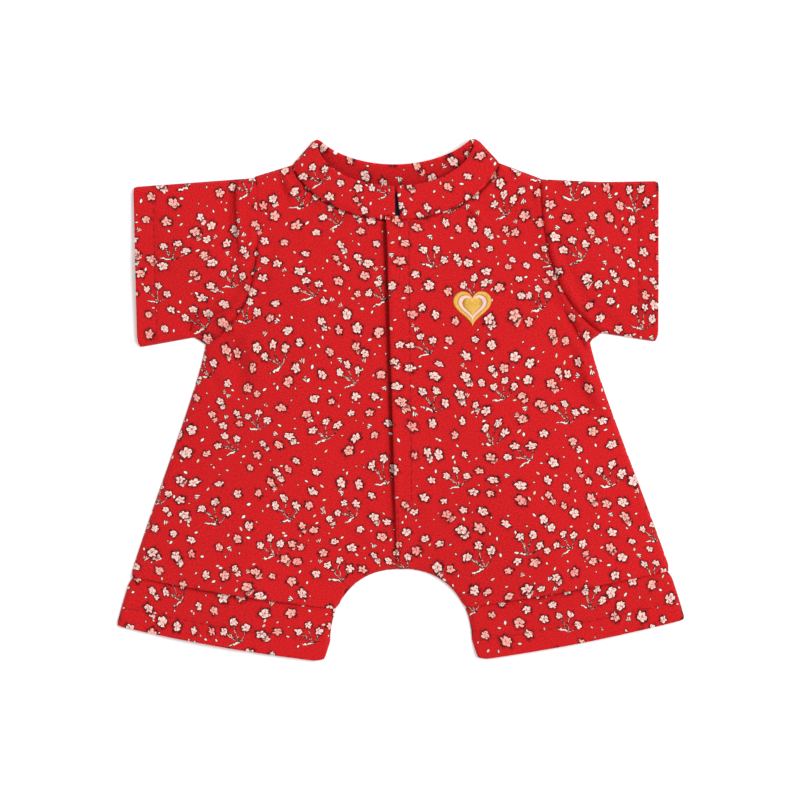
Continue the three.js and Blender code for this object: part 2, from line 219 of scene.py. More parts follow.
# %% Distances to lines
def near(x, y, points):
    """Distance to a line of points, the length along it at the nearest place, and +1 on its left side."""
    place = np.stack([x, y], 1)
    best = np.full(len(x), np.inf)
    along = np.zeros(len(x))
    side = np.ones(len(x))
    run = 0.0
    for a, b in zip(points[:-1], points[1:]):
        way = b - a
        size = math.hypot(*way)
        off = place - a
        part = np.clip((off @ way) / (size * size), 0, 1)
        apart = np.linalg.norm(off - part[:, None] * way, axis=1)
        closer = apart < best
        best = np.where(closer, apart, best)
        along = np.where(closer, run + part * size, along)
        side = np.where(closer, np.where(way[0] * off[:, 1] - way[1] * off[:, 0] > 0, 1, -1), side)
        run += size
    return best, along, side


def inside(x, y, loop):
    crossed = np.zeros(len(x), bool)
    for a, b in zip(loop, np.roll(loop, -1, axis=0)):
        if a[1] != b[1]:
            spans = (a[1] > y) != (b[1] > y)
            crossed ^= spans & (x < a[0] + (y - a[1]) * (b[0] - a[0]) / (b[1] - a[1]))
    return crossed


def smooth(value, low, high):
    part = np.clip((value - low) / (high - low), 0, 1)
    return part * part * (3 - 2 * part)


def band(apart, at, width, height):
    """A rounded ridge of some height, or a ditch if that is below 0, along a line."""
    return height * np.exp(-(((apart - at) / width) ** 2))


middle = np.zeros(1)
print("from the middle of the garment to the tuck:", near(middle, middle, tuck_edge)[0].round(1)[0], "mm")

# %% The height field
SEAT = 0.7  # height of the front where it meets the back
EDGE_ROLL = 1.8  # width of the rounded edge
EDGE_HEIGHT = 1.3
RISE = 40.0  # width over which the front rises from that edge to its full height
upper_edges = {side: line(PEAK, NECK, SHOULDER[side], SLEEVE_BOW[side], SLEEVE_TOP) for side in shoulders}
lower_edges = np.vstack([SLEEVE_BOTTOM, NOTCH, side_seam])


def roll(distance):
    """0 on a closed edge and 1 past its rounding."""
    return 1 - (1 - np.clip(distance / EDGE_ROLL, 0, 1)) ** 2


def swell(distance):
    """0 on a closed edge and 1 where the front has its full height."""
    return 1 - (1 - np.clip(distance / RISE, 0, 1)) ** 1.3


def inwards(x, y):
    """Distance from the nearest edge where front and back are joined."""
    side = np.abs(x)
    upper = np.where(x > 0, near(side, y, upper_edges["left"])[0], near(side, y, upper_edges["right"])[0])
    seams = np.minimum(upper, near(side, y, lower_edges)[0])
    from_arch = np.where(y > ARCH_Y, np.hypot(side, y - ARCH_Y), side) - ARCH_RADIUS
    return np.minimum(seams, np.maximum(from_arch, 0))


def towards_hem(x, y):
    """1 at the open end of a sleeve or leg, and 0 well inside."""
    side = np.abs(x)
    from_hem = np.minimum(near(side, y, sleeve_hem)[0], near(side, y, leg_hem)[0])
    return 1 - smooth(from_hem, 0, 24)


def lifted(x, y, roof):
    distance = inwards(x, y)
    rise = (roof - SEAT - EDGE_HEIGHT) * swell(distance) * (1 - 0.75 * towards_hem(x, y))
    return SEAT + EDGE_HEIGHT * roll(distance) + rise


print("height at the chest and near a side seam:",
      lifted(np.array([30.0, 76.0]), np.array([30.0, 10.0]), ROOF).round(1), "mm")

# %% [markdown]
# ## Creases, seams and puckers
# Cotton that was folded and laid out by hand is never quite smooth. Three things break the surface: soft
# undulations all over, a few creases that start where the cloth is gathered by a seam, and the seams
# themselves, which pull the cloth into a fine ditch with little puckers beside it. A simulation could find
# such creases too, but here each one has its place on the garment, so they are carved one by one: a crease is
# a line with a ridge along it and a shallow valley beside the ridge.

# %% Undulation and soft creases
UNDULATION = 0.16
# Each wave has its steps along x and y, and where it starts.
waves = [(0.11, 0.05, 0.4), (-0.06, 0.13, 2.1), (0.19, 0.09, 4.0), (-0.15, 0.21, 1.2), (0.07, -0.24, 5.1)]


def undulation(x, y):
    return UNDULATION * sum(np.sin(a * x + b * y + c) for a, b, c in waves) / 2


creases = []


def crease(points, width, height):
    creases.append((np.array(points, float), width, height))


def both_sides(points, width, height):
    crease(points, width, height)
    crease(np.array(points, float) * (-1, 1), width, height)


def crease_relief(x, y):
    total = np.zeros(len(x))
    for points, width, height in creases:
        apart, along, side = near(x, y, points)
        fade = np.sin(np.pi * np.clip(along / run_of(points)[-1], 0.02, 0.98)) ** 0.7
        total += height * fade * (band(apart, 0, width, 1) - band(apart * side, 1.7 * width, width, 0.6))
    return total


both_sides([(70, 18), (64, 8), (60, -4)], 2.2, 0.5)
both_sides([(72.5, 14), (69, 2)], 1.6, 0.4)
both_sides([(38, 80), (44, 73), (47, 64)], 1.8, 0.5)
both_sides([(33, 76), (37, 68)], 1.5, 0.45)
both_sides([(28, 70), (33, 62), (35, 55)], 1.6, 0.35)
both_sides([(3, -60), (12, -50), (22, -43)], 2.2, 0.5)
both_sides([(18, -68), (30, -62), (42, -60)], 2.4, 0.5)
both_sides([(92, -55), (80, -50), (70, -49)], 2.2, 0.4)
both_sides([(90, -30), (80, -26)], 2.0, 0.35)
crease([(57.5, 79), (59.5, 70), (60, 62)], 1.6, 0.6)
crease([(-20, 64), (-27, 58), (-36, 56)], 2.0, 0.35)
crease([(52, 70), (45, 66), (40, 58)], 2.0, 0.5)
crease([(-13, -30), (-10, -42), (-12, -52)], 2.4, 0.4)
crease([(12, -28), (10, -40), (11, -50)], 2.2, 0.4)
crease([(-75, 26.6), (-69, 27.6), (-62, 30.5)], 2.2, 1.3)
crease([(-71, 18.5), (-65, 19.6), (-60, 20.0)], 1.7, 0.6)
crease([(-61, 24), (-58.5, 15), (-57.5, 6)], 3.0, -1.4)
crease([(61.5, 23), (65.0, 10), (68.0, 1), (73.5, -8)], 3.0, -2.4)
crease([(-56.4, 44), (-57.6, 52), (-58.6, 62), (-59.0, 72), (-59.1, 86)], 1.8, 2.0)
crease([(-37.6, 73.5), (-39.2, 79.0), (-42.4, 86.0)], 1.4, 2.0)
print(len(creases), "soft creases")

# %% Sharp folds
folds = []


def sharp_fold(points, reach, depth, low_side, fade_in=0.15, fade_out=0.4):
    """A line where one side of the cloth dips under the other: low_side is +1 if that is its left side."""
    folds.append((np.array(points, float), reach, depth, low_side, fade_in, fade_out))


def fold_relief(x, y):
    total = np.zeros(len(x))
    for points, reach, depth, low_side, fade_in, fade_out in folds:
        apart, along, side = near(x, y, points)
        part = along / run_of(points)[-1]
        fade = smooth(part, 0, fade_in) * smooth(1 - part, 0, fade_out)
        drop = -depth * (0.65 * (1 - np.clip(apart / reach, 0, 1)) ** 2 + band(apart, 0, 0.7, 0.35))
        total += fade * np.where(side == low_side, drop, band(apart, 0, 1.2, 0.3 * depth))
    return total


sharp_fold([(-59.0, 82), (-58.9, 72), (-58.4, 62), (-57.2, 50)], 4.2, 2.8, -1, 0.06, 0.4)
sharp_fold([(-75.8, 31.0), (-69.5, 31.2), (-62.5, 34.0)], 2.4, 3.0, 1, 0.1, 0.5)
sharp_fold([(60.5, 34.5), (65.6, 27.6), (68.6, 21.3), (70.4, 17.6)], 4.2, 2.6, -1, 0.35, 0.1)
sharp_fold([(24.5, 71.8), (28.5, 68.2), (33.0, 64.6)], 2.6, 1.6, -1, 0.1, 0.5)
sharp_fold([(-74.6, 31.4), (-75.8, 27.5), (-76.4, 23.0)], 3.5, 2.2, -1, 0.25, 0.1)
sharp_fold([(41.0, 77.5), (45.5, 71.5), (48.0, 65.0)], 2.8, 1.5, 1, 0.2, 0.5)
print(len(folds), "sharp folds")

# %% Seams of the neck and the armholes
neck_line = join(mirrored(front_neck), front_neck[1:])
SEAM_WIDTH = 0.45


def puckers(along, pitch):
    """Uneven little waves along a seam, between -1 and 1."""
    return np.sin(2 * np.pi * along / pitch + 1.4 * np.sin(along / 7.0))


def neck_relief(x, y):
    """The collar rolls down to the seam, and the body has a ditch, a ridge and little puckers beside it."""
    apart, along, which = near(x, y, neck_line)
    beat = puckers(along, 3.4)
    deeper = smooth(np.abs(x), 9, 15) - smooth(np.abs(x), 31, 36)
    ditch = band(apart, 0.7, 0.5, -1.5) * (1 + 0.45 * deeper)
    on_body = ditch + band(apart, 2.0, 0.7, 0.65) + beat * band(apart, 2.0, 1.6, 0.35)
    return np.where(which > 0, band(apart, 0, 0.7, -0.5), on_body)


SEAM_DITCH = {"left": 1.4, "right": 0.9}  # depth of the armhole seam
SLEEVE_SINK = {"left": 0.3, "right": 0.4}  # dip of the sleeve beside it
BODY_VALLEY = 0.5  # and of the body
UPPER_SEAM = {"left": 0.8, "right": 0.08}  # how much of the seam shows near the shoulder


def armhole_relief(x, y):
    """Beside an armhole the body has a ridge and a valley, and the sleeve a dip, a ridge and a valley."""
    total = np.zeros(len(x))
    for side, sign in SIDES:
        apart, along, which = near(x * sign, y, armholes[side])
        beat = puckers(along, 4.6)
        lower = smooth(along, 12, 34)
        shown = UPPER_SEAM[side] + (1 - UPPER_SEAM[side]) * lower
        on_sleeve = shown * (band(apart, 2.0, 0.9, 0.7) + band(apart, 5.4, 1.8, -0.7))
        on_sleeve += lower * band(apart, 0, 1.5, -SLEEVE_SINK[side]) + beat * band(apart, 2.5, 3.0, 0.2)
        on_body = shown * band(apart, 1.2, 0.8, 0.6) + lower * band(apart, 5.0, 1.9, -BODY_VALLEY)
        ditch = shown * band(apart, 0, SEAM_WIDTH, -SEAM_DITCH[side])
        total += np.where(which > 0, on_sleeve, on_body) + ditch
    return total


print("neck seam:", round(run_of(neck_line)[-1], 1), "mm long")

# %% Stitched hems, and the whole relief
HEM_DEPTH = 6.8


def beside(points, distance):
    """A line moved to the left of the way it runs."""
    way = np.gradient(points, axis=0)
    way /= np.linalg.norm(way, axis=1)[:, None]
    return points + np.stack([-way[:, 1], way[:, 0]], 1) * distance


sleeve_stitch = beside(sleeve_hem, HEM_DEPTH)
leg_stitch = beside(leg_hem, -HEM_DEPTH)
stitch_lines = [sleeve_stitch, sleeve_stitch * (-1, 1), leg_stitch, leg_stitch * (-1, 1)]
STITCH_DITCH = 0.32


def stitch_relief(x, y):
    total = np.zeros(len(x))
    for points in stitch_lines:
        apart, along, _ = near(x, y, points)
        pulls = 1 + 0.5 * np.sin(2 * np.pi * along / 2.9)
        total += pulls * band(apart, 0, 0.7, -STITCH_DITCH)
        total += band(apart, 0, 3.0, 0.12) * np.sin(2 * np.pi * along / 6.1 + along / 9)
    return total


def relief(x, y):
    from_edge = inwards(x, y)
    soft = (undulation(x, y) + crease_relief(x, y)) * smooth(from_edge, 0.2, 5.0)
    sharp = fold_relief(x, y) * smooth(from_edge, 0.0, 2.5)
    seams = armhole_relief(x, y) * smooth(from_edge, 0.0, 1.8)
    return soft + sharp + seams + neck_relief(x, y) + stitch_relief(x, y)


print("three seams and", len(stitch_lines), "stitched hems shape the surface")

# %% [markdown]
# ## From pattern piece to cloth
# A pattern piece becomes a mesh in three steps. Its outline is filled with points on a triangular lattice
# and joined by a Delaunay triangulation, which gives even triangles right up to the edge. The height field
# lifts the points. Then the sheet gets its thickness: a second skin on the inside, and a rounded rim between
# the two, as a folded edge of cloth has. Blender's Solidify modifier could add thickness, but doing it here
# lets a hem be thicker than the plain cloth and rounds the rim at once.

# %% Fill an outline with even triangles
STEP = 1.25
EDGE_ROWS = (0.45, 0.9, 1.4, 2.0)  # rows of points this far inside the edge keep the edge crisp
FOLD_ROWS = (-0.3, 0.3)  # rows beside each sharp fold
STITCH_ROWS = (-0.6, 0.0, 0.6)  # and along each stitched hem
guides = [(fold[0], FOLD_ROWS) for fold in folds] + [(points, STITCH_ROWS) for points in stitch_lines]


def fill(edges, step=STEP):
    loop = join(*[spaced(edge, step)[:-1] for edge in edges])
    closed = join(loop, loop[:1])
    way = np.roll(loop, -1, axis=0) - np.roll(loop, 1, axis=0)
    inward = np.stack([-way[:, 1], way[:, 0]], 1) / np.linalg.norm(way, axis=1)[:, None]
    rows = [(loop + inward * reach, reach * 0.8) for reach in EDGE_ROWS]
    guide_rows = [beside(spaced(points, 0.8), reach) for points, reaches in guides for reach in reaches]
    rows.append((join(*guide_rows), EDGE_ROWS[-1] + 0.3))
    low, high = loop.min(0), loop.max(0)
    levels = np.arange(low[1], high[1], step * math.sqrt(3) / 2)
    columns = np.arange(low[0], high[0], step)
    lattice_x = np.concatenate([columns + step / 2 * (i % 2) for i in range(len(levels))])
    lattice = np.stack([lattice_x, np.repeat(levels, len(columns))], 1)
    from_guide = np.min([near(*lattice.T, points)[0] - reaches[-1] for points, reaches in guides], axis=0)
    rows.append((lattice[from_guide > step * 0.45], EDGE_ROWS[-1] + step * 0.45))
    points = [loop]
    for row, clearance in rows:
        keep = inside(*row.T, loop) & (near(*row.T, closed)[0] > clearance)
        points.append(row[keep])
    ring = [(i, (i + 1) % len(loop)) for i in range(len(loop))]
    found = delaunay_2d_cdt([Vector(p) for p in join(*points)], ring, [], 1, 1e-6)
    flat = np.array([tuple(v) for v in found[0]])
    faces = np.array(found[2])
    a, b, c = (flat[faces[:, i]] for i in range(3))
    area = (b[:, 0] - a[:, 0]) * (c[:, 1] - a[:, 1]) - (b[:, 1] - a[:, 1]) * (c[:, 0] - a[:, 0])
    faces[area < 0] = faces[area < 0][:, ::-1]
    return flat, faces, float(np.abs(area).sum() / 2)


print(len(guides), "lines get their own rows of points")

# %% Give a sheet its thickness and a rounded rim
RIM_STEPS = 4


def face_normals(points, faces):
    a, b, c = (points[faces[:, i]] for i in range(3))
    return np.cross(b - a, c - a)


def unit(vectors):
    return vectors / np.maximum(np.linalg.norm(vectors, axis=1), 1e-9)[:, None]


def summed(count, index, vectors):
    total = np.zeros((count, 3))
    np.add.at(total, index, vectors)
    return total


def thickened(points, faces, thickness):
    """Points and faces of a sheet with a second skin and rounded rim, and which faces are the inside."""
    count = len(points)
    normals = face_normals(points, faces)
    out = unit(sum(summed(count, faces[:, i], normals) for i in range(3)))
    pairs = np.vstack([faces[:, [i, (i + 1) % 3]] for i in range(3)])
    keys = np.sort(pairs, axis=1) @ np.array((count, 1))
    _, first, uses = np.unique(keys, return_index=True, return_counts=True)
    rim = pairs[first[uses == 1]]
    way = points[rim[:, 1]] - points[rim[:, 0]]
    away = np.cross(way, out[rim[:, 0]])
    outward = unit(summed(count, rim[:, 0], away) + summed(count, rim[:, 1], away))
    on_rim = np.unique(rim)
    place = np.full(count, -1)
    place[on_rim] = np.arange(len(on_rim))
    half = thickness[:, None] / 2
    layers = [points, points - out * 2 * half]
    for k in range(1, RIM_STEPS):
        angle = math.pi * k / RIM_STEPS
        arc = out * (math.cos(angle) - 1) + outward * math.sin(angle)
        layers.append((points + arc * half)[on_rim])
    rings = [rim]
    for k in range(1, RIM_STEPS):
        rings.append(2 * count + (k - 1) * len(on_rim) + place[rim])
    rings.append(rim + count)
    quads = [np.stack([a[:, 1], a[:, 0], b[:, 0], b[:, 1]], 1) for a, b in zip(rings[:-1], rings[1:])]
    source = np.concatenate([np.arange(count), np.arange(count)] + [on_rim] * (RIM_STEPS - 1))
    every = [list(f) for f in faces] + [list(f) for f in faces[:, ::-1] + count]
    every += [list(f) for f in np.vstack(quads)]
    wrong_side = np.zeros(len(every), int)
    wrong_side[len(faces):2 * len(faces)] = 1
    return np.vstack(layers), every, wrong_side, source


print("a rim is rounded in", RIM_STEPS, "steps")

# %% Make the mesh object
PRINT_MAP = "print"


def build(name, points, faces, materials, material_index=None, print_at=None, moved=None):
    """A smooth-shaded object from points in millimetres. print_at places the printed pattern on each point,
    and moved says on which faces the pattern is shifted, and how far at each point."""
    mesh = bpy.data.meshes.new(name)
    mesh.from_pydata([tuple(p) for p in np.asarray(points) * MM], [], [list(f) for f in faces])
    for material in materials:
        mesh.materials.append(material)
    if material_index is not None:
        mesh.polygons.foreach_set("material_index", np.asarray(material_index, np.int32))
    mesh.polygons.foreach_set("use_smooth", np.ones(len(mesh.polygons), bool))
    if print_at is not None:
        corner = np.empty(len(mesh.loops), np.int32)
        mesh.loops.foreach_get("vertex_index", corner)
        spots = np.asarray(print_at)[corner]
        if moved is not None:
            which, shift = moved
            spots = spots + np.repeat(which, [len(f) for f in faces])[:, None] * shift[corner]
        layer = mesh.uv_layers.new(name=PRINT_MAP)
        layer.uv.foreach_set("vector", spots.astype(np.float32).ravel())
    mesh.update()
    made = bpy.data.objects.new(name, mesh)
    bpy.context.scene.collection.objects.link(made)
    return made


print("the printed pattern is placed by the UV map", PRINT_MAP)

# %% Sheets and tubes of cloth
CLOTH = 0.45  # thickness of the cotton with its finish
UNDER_LAYER = np.array((137.0, 61.0))  # the under layer of a tube is cut from another place on the cloth


def even(thick):
    """The same thickness all over."""
    def thickness(x, y):
        return np.full(len(x), thick)
    return thickness


def turned(points, angle, shift):
    c, s = math.cos(math.radians(angle)), math.sin(math.radians(angle))
    return points @ np.array(((c, s), (-s, c))) + shift


def cut_out(made, area):
    """Note how much cloth a piece takes."""
    print(made.name, len(made.data.vertices), "points,", round(area / 100, 1), "square cm of cloth")
    return made


def sheet(name, edges, top, materials, thickness=even(CLOTH), step=STEP, grain=0.0, shift=(0, 0)):
    """One layer of cloth with the outline of a pattern piece."""
    flat, faces, area = fill(edges, step)
    points = np.column_stack([flat, top(*flat.T)])
    skin, every, wrong, source = thickened(points, faces, thickness(*flat.T))
    made = build(name, skin, every, materials, wrong, turned(flat, grain, shift)[source])
    return cut_out(made, area)


def tube(name, edges, joined, top, under, materials, thickness, slack, grain=0.0, shift=(0, 0)):
    """Two layers of cloth joined along some edges, as a sleeve or a leg is when it lies flat."""
    flat, faces, area = fill(edges)
    x, y = flat.T
    count = len(flat)
    on_join = np.min([near(x, y, edge)[0] for edge in joined], axis=0) < 1e-3
    back_index = np.where(on_join, np.arange(count), count + np.cumsum(~on_join) - 1)
    front_z, back_z = top(x, y), under(x, y)
    front_z = np.where(on_join, (SEAT + back_z) / 2, front_z)
    points = np.vstack([np.column_stack([flat, front_z]), np.column_stack([flat, back_z])[~on_join]])
    both = np.vstack([faces, back_index[faces][:, ::-1]])
    spread = np.vstack([flat, flat[~on_join]])
    skin, every, wrong, source = thickened(points, both, thickness(*spread.T))
    below = np.zeros(len(every), int)
    below[len(faces):2 * len(faces)] = 1
    below[3 * len(faces):4 * len(faces)] = 1
    moved = (below, (UNDER_LAYER + slack(*spread.T))[source])
    made = build(name, skin, every, materials, wrong, turned(spread, grain, shift)[source], moved)
    return cut_out(made, 2 * area)


print("cotton:", CLOTH, "mm thick")

# %% [markdown]
# ## A small language for shader nodes
# Procedural materials are trees of nodes, and long trees are hard to read as code. This helper writes a node
# for each sum, so a shader reads like a formula. A number goes straight on the socket, and another node's
# output is linked to it.

# %% Writing nodes as formulas
class NodeWriter:
    def __init__(self, tree):
        self.tree = tree

    def node(self, kind, **settings):
        made = self.tree.nodes.new(kind)
        for name, value in settings.items():
            setattr(made, name, value)
        return made

    def put(self, socket, value):
        if isinstance(value, bpy.types.NodeSocket):
            self.tree.links.new(value, socket)
        elif value is not None:
            socket.default_value = value

    def fed(self, made, *values):
        """Fill the sockets of a node in their order, and give its outputs."""
        for socket, value in zip(made.inputs, values):
            self.put(socket, value)
        return made.outputs

    def filled(self, made, **values):
        """Fill the sockets of a node by their names, and give its outputs."""
        for name, value in values.items():
            self.put(made.inputs[name], value)
        return made.outputs

    def math(self, operation, *values, clamp=False):
        return self.fed(self.node("ShaderNodeMath", operation=operation, use_clamp=clamp), *values)[0]

    def times(self, *values):
        product = values[0]
        for value in values[1:]:
            product = self.math("MULTIPLY", product, value)
        return product

    def over(self, value, limit):
        """1 where a value is greater than the limit, and 0 elsewhere."""
        return self.math("GREATER_THAN", value, limit)

    def vector(self, operation, *values, scale=None):
        made = self.node("ShaderNodeVectorMath", operation=operation)
        self.fed(made, *values)
        if scale is not None:
            self.put(made.inputs["Scale"], scale)
        return made.outputs["Value" if operation in ("LENGTH", "DISTANCE", "DOT_PRODUCT") else "Vector"]

    def ramp(self, value, low, high, start=0.0, end=1.0):
        made = self.node("ShaderNodeMapRange", interpolation_type="SMOOTHSTEP")
        return self.fed(made, value, low, high, start, end)[0]

    def mix(self, share, a, b):
        made = self.node("ShaderNodeMix", data_type="RGBA")
        self.put(made.inputs["Factor"], share)
        self.put(made.inputs[6], a)
        self.put(made.inputs[7], b)
        return made.outputs[2]

    def split(self, value):
        return self.fed(self.node("ShaderNodeSeparateXYZ"), value)

    def spin(self, value, angle):
        made = self.node("ShaderNodeVectorRotate", rotation_type="Z_AXIS")
        return self.filled(made, Vector=value, Angle=angle)[0]

    def noise(self, place, scale, detail, dimensions="2D"):
        made = self.node("ShaderNodeTexNoise", noise_dimensions=dimensions)
        return self.filled(made, Vector=place, Scale=scale, Detail=detail)

    def bump(self, shader, height, strength, distance):
        made = self.node("ShaderNodeBump")
        normal = self.filled(made, Height=height, Strength=strength, Distance=distance)[0]
        self.put(shader.inputs["Normal"], normal)

    def group(self, tree, **values):
        return self.filled(self.node("ShaderNodeGroup", node_tree=tree), **values)


def new_group(name, inputs, outputs):
    tree = bpy.data.node_groups.new(name, "ShaderNodeTree")
    for label, kind in inputs:
        tree.interface.new_socket(label, in_out="INPUT", socket_type=kind)
    for label, kind in outputs:
        tree.interface.new_socket(label, in_out="OUTPUT", socket_type=kind)
    writer = NodeWriter(tree)
    return tree, writer, writer.node("NodeGroupInput").outputs, writer.node("NodeGroupOutput").inputs


NUMBER, VECTOR, COLOUR = "NodeSocketFloat", "NodeSocketVector", "NodeSocketColor"
print("a node writer for sums, mixes, noise and groups")

# %% [markdown]
# ## The flower print
# The print is a ditsy, a common kind of cotton print: small blossoms, sprigs and buds scattered so that no
# row shows. An image could hold it, but formulas stay sharp at any distance. A Voronoi texture scatters the
# cells, and each cell's own random colour turns and tints the motif at its centre. Two small groups draw the
# motifs: a blossom in polar coordinates, whose edge swings in and out five times, and a stalk, which is the
# distance to a short line.

# %% A blossom and a stalk
def make_blossom():
    tree, w, given, result = new_group(
        "blossom", [("Place", VECTOR), ("Radius", NUMBER), ("Grain", NUMBER)],
        [("Petals", NUMBER), ("Outline", NUMBER), ("Halo", NUMBER), ("Centre", NUMBER), ("Depth", NUMBER)])
    x, y, _ = w.split(given["Place"])
    reach = w.math("DIVIDE", w.vector("LENGTH", given["Place"]), given["Radius"])
    angle = w.math("ARCTAN2", y, x)
    lobe = w.math("ABSOLUTE", w.math("COSINE", w.times(angle, 2.5)))
    edge = w.math("MULTIPLY_ADD", w.math("POWER", lobe, 0.6), 0.5, 0.5)
    beyond = w.math("SUBTRACT", reach, edge)
    petals = w.ramp(beyond, 0.06, -0.06)
    broken = w.ramp(given["Grain"], 0.36, 0.54, 0.4, 1.0)
    outline = w.times(w.ramp(beyond, 0.46, 0.26), broken)
    halo = w.ramp(beyond, 1.0, 0.3)
    notch = w.times(w.ramp(lobe, 0.42, 0.1), w.ramp(reach, 0.2, 0.42))
    marks = w.times(w.ramp(given["Grain"], 0.57, 0.62), w.ramp(reach, 0.95, 0.7))
    cuts = w.math("MAXIMUM", w.times(notch, 0.45), w.times(marks, 0.8))
    w.put(result["Petals"], w.times(petals, w.math("SUBTRACT", 1.0, cuts)))
    w.put(result["Outline"], w.math("MAXIMUM", outline, petals))
    w.put(result["Halo"], halo)
    w.put(result["Centre"], w.ramp(reach, 0.26, 0.1))
    w.put(result["Depth"], w.ramp(reach, 0.15, 0.75))
    return tree


def make_stalk():
    tree, w, given, result = new_group(
        "stalk", [("Place", VECTOR), ("From", VECTOR), ("To", VECTOR), ("Width", NUMBER)],
        [("Inside", NUMBER), ("Edge", NUMBER)])
    way = w.vector("SUBTRACT", given["To"], given["From"])
    off = w.vector("SUBTRACT", given["Place"], given["From"])
    part = w.math("DIVIDE", w.vector("DOT_PRODUCT", off, way), w.vector("DOT_PRODUCT", way, way), clamp=True)
    apart = w.vector("LENGTH", w.vector("SUBTRACT", off, w.vector("SCALE", way, scale=part)))
    plump = w.math("MULTIPLY_ADD", w.math("SINE", w.times(part, math.pi)), 0.5, 0.5)
    width = w.times(given["Width"], plump)
    w.put(result["Inside"], w.ramp(w.math("SUBTRACT", apart, width), 0.08, -0.08))
    w.put(result["Edge"], w.ramp(w.math("SUBTRACT", apart, width), 0.3, 0.14))
    return tree


blossom_tree = make_blossom()
stalk_tree = make_stalk()
print("motifs:", blossom_tree.name, len(blossom_tree.nodes), "nodes,", stalk_tree.name, len(stalk_tree.nodes))

# %% [markdown]
# The print puts the motifs together in three scatters. Sprigs come first, on wide cells. Single blossoms
# and pairs fill narrower cells, and stay away from a sprig: the distance to the sprig is measured at the
# blossom's own centre, so a blossom is left out whole and never cut. Buds and specks fill what is left.

# %% Scatter and draw the motifs
DARK_RED = (0.26, 0.003, 0.005, 1)
CREAM = (1.0, 0.80, 0.71, 1)
PEACH = (1.0, 0.50, 0.41, 1)
ROSE = (1.0, 0.34, 0.30, 1)
INK = (0.018, 0.003, 0.005, 1)


def cells(w, place, spacing, feature):
    """A Voronoi pattern whose spacing is the size of its cells and the scatter of their centres."""
    size, spread = spacing
    made = w.node("ShaderNodeTexVoronoi", voronoi_dimensions="2D", feature=feature)
    return w.filled(made, Vector=place, Scale=1 / size, Randomness=spread)


def scatter(w, place, spacing):
    """The way from the centre of the cell to a place, that centre, and the cell's three random numbers."""
    found = cells(w, place, spacing, "F1")
    centre = found["Position"]
    return w.vector("SUBTRACT", place, centre), centre, w.split(found["Color"])


def room_around(w, centre, spacing):
    """Half the distance from a cell's centre to its nearest neighbour."""
    return w.times(cells(w, centre, spacing, "DISTANCE_TO_EDGE")["Distance"], spacing[0])


def clear_of(w, centre, spacing, distance):
    """1 where a motif's centre is far enough from the motifs of another scatter."""
    return w.over(w.vector("LENGTH", scatter(w, centre, spacing)[0]), distance)


def draw_blossom(w, colour, place, radius, petal, grain, shown):
    drawn = w.group(blossom_tree, Place=place, Radius=radius, Grain=grain)
    names = ("Halo", "Outline", "Petals", "Centre")
    halo, outline, petals, centre = (w.times(drawn[name], shown) for name in names)
    colour = w.mix(w.times(halo, 0.55), colour, DARK_RED)
    colour = w.mix(outline, colour, INK)
    tinted = w.mix(drawn["Depth"], w.mix(0.45, petal, ROSE), petal)
    tinted = w.mix(w.ramp(grain, 0.53, 0.36, 0.0, 0.65), tinted, ROSE)
    colour = w.mix(petals, colour, tinted)
    return w.mix(w.times(centre, 0.7), colour, INK)


def draw_stalk(w, colour, place, start, end, width, tint, shown):
    drawn = w.group(stalk_tree, Place=place, From=start, To=end, Width=width)
    colour = w.mix(w.times(drawn["Edge"], shown), colour, INK)
    return w.mix(w.times(drawn["Inside"], shown), colour, tint)


print("motifs in", len((CREAM, PEACH, ROSE)), "tints with dark edges")

# %% Sprigs
SPRIGS = (25.0, 0.6)  # size of the cells, and how far their centres are scattered
PRINT_TURN = 0.45
SPRIG_REACH = 9.0
SPRIG_LEAN = 0.4  # a sprig leans up to this far either way
sprig_blossoms = [((-3.9, 1.0, 0), 1.35), ((0, 3.6, 0), 1.35), ((4.0, 1.2, 0), 1.45)]
sprig_forks = [
    ((1.5, -3.7, 0), (-3.9, 1.0, 0)), ((1.5, -3.7, 0), (0.3, -0.4, 0)), ((0.3, -0.4, 0), (0, 3.6, 0)),
    ((1.5, -3.7, 0), (3.3, -1.7, 0)), ((3.3, -1.7, 0), (4.0, 1.2, 0)),
]
sprig_leaves = [((1.5, -3.6, 0), (-2.9, -4.3, 0)), ((-0.4, -1.9, 0), (-2.0, -0.3, 0))]


def draw_sprigs(w, colour, place, wobble, grain):
    near_sprig, _, dice = scatter(w, place, SPRIGS)
    lean = w.ramp(dice[0], 0.0, 1.0, -SPRIG_LEAN - PRINT_TURN, SPRIG_LEAN - PRINT_TURN)
    sprig = w.spin(w.vector("ADD", near_sprig, wobble), lean)
    shown = w.math("LESS_THAN", w.vector("LENGTH", near_sprig), SPRIG_REACH)
    for start, end in sprig_leaves:
        colour = draw_stalk(w, colour, sprig, start, end, 0.30, CREAM, shown)
    for start, end in sprig_forks:
        colour = draw_stalk(w, colour, sprig, start, end, 0.16, PEACH, shown)
    for centre, radius in sprig_blossoms:
        colour = draw_blossom(w, colour, w.vector("SUBTRACT", sprig, centre), radius, CREAM, grain, shown)
    return colour


print("a sprig has", len(sprig_blossoms), "blossoms and", len(sprig_leaves), "leaves")

# %% Blossoms
BLOSSOMS = (7.7, 0.6)
FULL_TURN = 6.28
BLOSSOM_FROM_SPRIG = 6.9  # least distance between their centres


